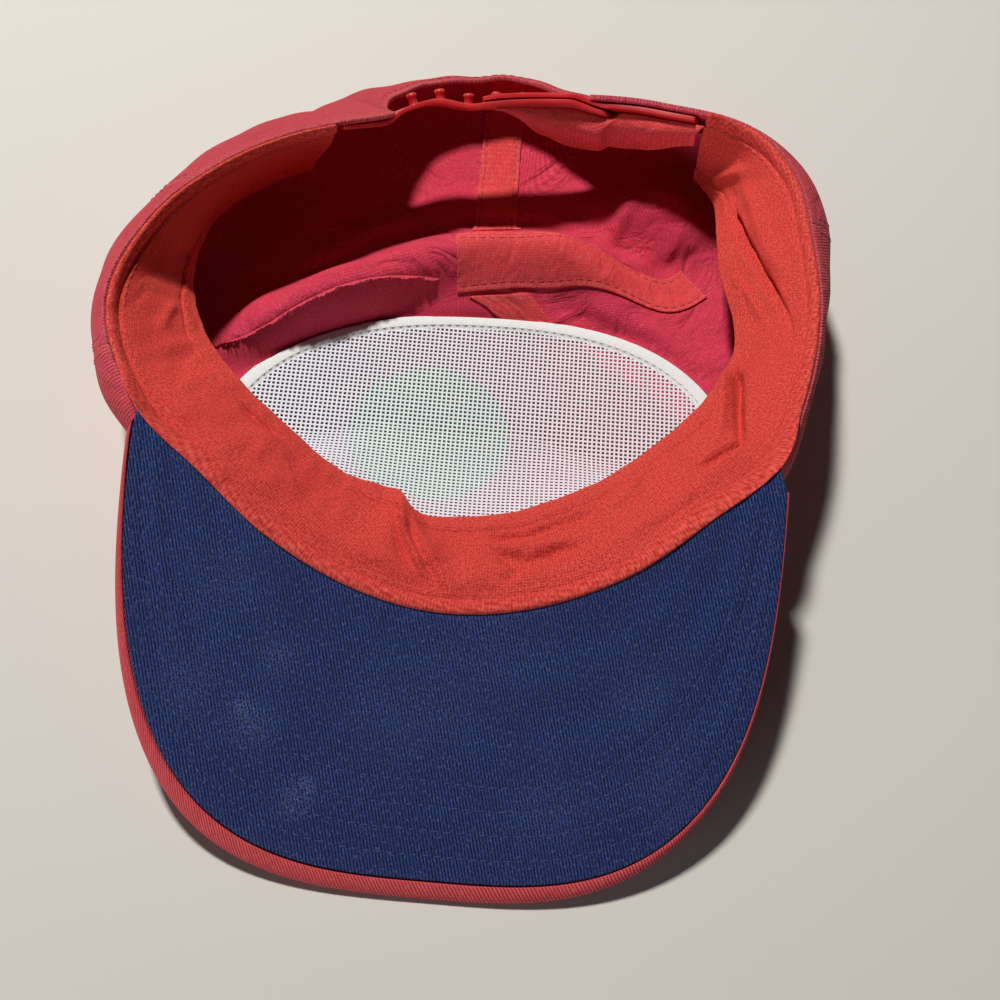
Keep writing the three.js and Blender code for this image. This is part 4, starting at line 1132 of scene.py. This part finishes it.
pegRuns = [k * strap["pitch"] for k in range(strap["pegCount"])]
holeRuns = [k * strap["pitch"] for k in range(strap["pegCount"] + strap["holeCount"])]
holeRuns = [run for run in holeRuns if strap["holeEnds"][0] < float(strapDeg(run)) < strap["holeEnds"][1]]
strapHalf("strap_pegs", strap["pegs"], pegLift, [], pegRuns, True)
strapHalf("strap_holes", strap["holes"], holeLift, holeRuns, [], False)
print("cap: strap fitted,", len(pegRuns), "pegs and", len(holeRuns), "holes")

# Cloth tab that is folded over the strap's right end
strapTab = {
    "ends": (34, 86), "share": 0.25, "out": 5.0, "down": 3.4, "back": 1.5, "drop": 9.0, "size": (52, 16),
    "cells": (80, 30), "fades": (58, 86), "grows": (34, 42), "steps": (49, 52), "thick": 0.9,
}


def tabPlace(u, v, side):
    deg = along(strapTab["ends"], u)
    much = (1 - smoothStep(*strapTab["fades"], deg)) * (0.6 + 0.4 * smoothStep(*strapTab["grows"], deg)) + 0.05
    face = strap["stand"] + capForm["strap"] + 0.5
    face = face + (capForm["strap"] + capForm["layGap"]) * smoothStep(*strapTab["steps"], deg)
    root = strapSpot(deg, strapTab["share"], face)
    outward = np.stack([np.cos(np.radians(deg)), np.sin(np.radians(deg)), np.zeros_like(deg)], -1)
    r = -strapTab["out"] * (1 - (1 - np.minimum(v / 0.55, 1)) ** 1.3) + strapTab["back"] * smoothStep(0.5, 1.0, v)
    z = -strapTab["down"] * np.minimum(v / 0.5, 1) ** 2 - strapTab["drop"] * smoothStep(0.42, 1.15, v)
    wave = 0.5 * np.sin(deg * 0.55 + 4 * v) * v
    spot = root + outward * ((r + wave) * much)[:, None]
    spot[:, 2] += z * much + strapTab["thick"] * (side - 0.5) * np.cos(v * 1.5)
    return spot + outward * ((0.5 - side) * strapTab["thick"] * np.sin(v * 1.5))[:, None]


tab = clothSheet("strap_tab_cloth", strapTab["size"], strapTab["cells"], tabPlace, [tapeCotton], soft=0.5)
print("cap: strap tab sewn")

# Floor, light and camera
studio = {
    "floor": ("DCD9D2", "DEDBD4"), "floorHalf": 2.0, "floorZ": -0.0004, "sky": (0.9, 0.93, 1.0, 1.0), "skyPower": 0.025,
    "key": {"spot": (-0.36, 0.60, 1.27), "aim": (0, 0.03, 0.02), "size": (0.14, 0.14), "power": 20.5,
            "colour": (1.0, 0.97, 0.93)},
    "fill": {"spot": (-0.92, -1.0, 0.12), "aim": (0, 0.0, 0.02), "size": (0.7, 0.12), "power": 6.8,
             "colour": (0.95, 0.97, 1.0)},
    "lens": 43.2, "sensor": 36.0, "pitch": 64.94, "roll": 8.17, "yaw": -3.22475, "eye": (5.436, -171.300, 329.81),
}

bpy.context.scene.view_settings.view_transform = "Standard"  # keeps the cloth's strong colours
floorBm = bmesh.new()
bmesh.ops.create_grid(floorBm, x_segments=1, y_segments=1, size=studio["floorHalf"])
floorMesh = bpy.data.meshes.new("studio_floor")
floorBm.to_mesh(floorMesh)
floorBm.free()
studioFloor = bpy.data.objects.new("studio_floor", floorMesh)
bpy.context.scene.collection.objects.link(studioFloor)
studioFloor.location.z = studio["floorZ"]
floorPaint = newMaterial("matt floor paint")  # pale and matt, so that only soft shadows show on it
floorTone = noise(floorPaint, objectSpot(floorPaint), 1000 / 6.0, 2.0)
finishMaterial(floorPaint, mixed(floorPaint, floorTone, *studio["floor"]), 0.9, floorTone, (0.05, 0.0001),
               {"Specular IOR Level": 0.2})
floorMesh.materials.append(floorPaint)


def areaLight(name, spot, aim, size, power, colour):
    data = bpy.data.lights.new(name, "AREA")
    data.shape, data.size, data.size_y = "RECTANGLE", size[0], size[1]
    data.energy, data.color = power, colour
    lamp = bpy.data.objects.new(name, data)
    lamp.location = spot
    lamp.rotation_euler = (Vector(aim) - Vector(spot)).to_track_quat("-Z", "Y").to_euler()
    bpy.context.scene.collection.objects.link(lamp)


areaLight("key_light", **studio["key"])
areaLight("fill_light", **studio["fill"])
world = bpy.data.worlds.new("studio")
bpy.context.scene.world = world
world.use_nodes = True
sky = world.node_tree.nodes["Background"]
sky.inputs[0].default_value, sky.inputs[1].default_value = studio["sky"], studio["skyPower"]

pitch, roll, yaw = (np.radians(studio[key]) for key in ("pitch", "roll", "yaw"))
turnZ = Matrix.Rotation(yaw, 3, "Z")
right = turnZ @ Vector((np.cos(roll), np.sin(pitch) * np.sin(roll), np.cos(pitch) * np.sin(roll)))
upward = turnZ @ Vector((-np.sin(roll), np.sin(pitch) * np.cos(roll), np.cos(pitch) * np.cos(roll)))
camData = bpy.data.cameras.new("photo_view")
camData.lens, camData.sensor_width, camData.sensor_fit = studio["lens"], studio["sensor"], "HORIZONTAL"
cam = bpy.data.objects.new("photo_view", camData)
facing = Matrix((right, upward, right.cross(upward))).transposed().to_4x4()
cam.matrix_world = Matrix.Translation(Vector(studio["eye"]) / 1000) @ facing
bpy.context.scene.collection.objects.link(cam)
bpy.context.scene.camera = cam
print("cap: lit and framed")
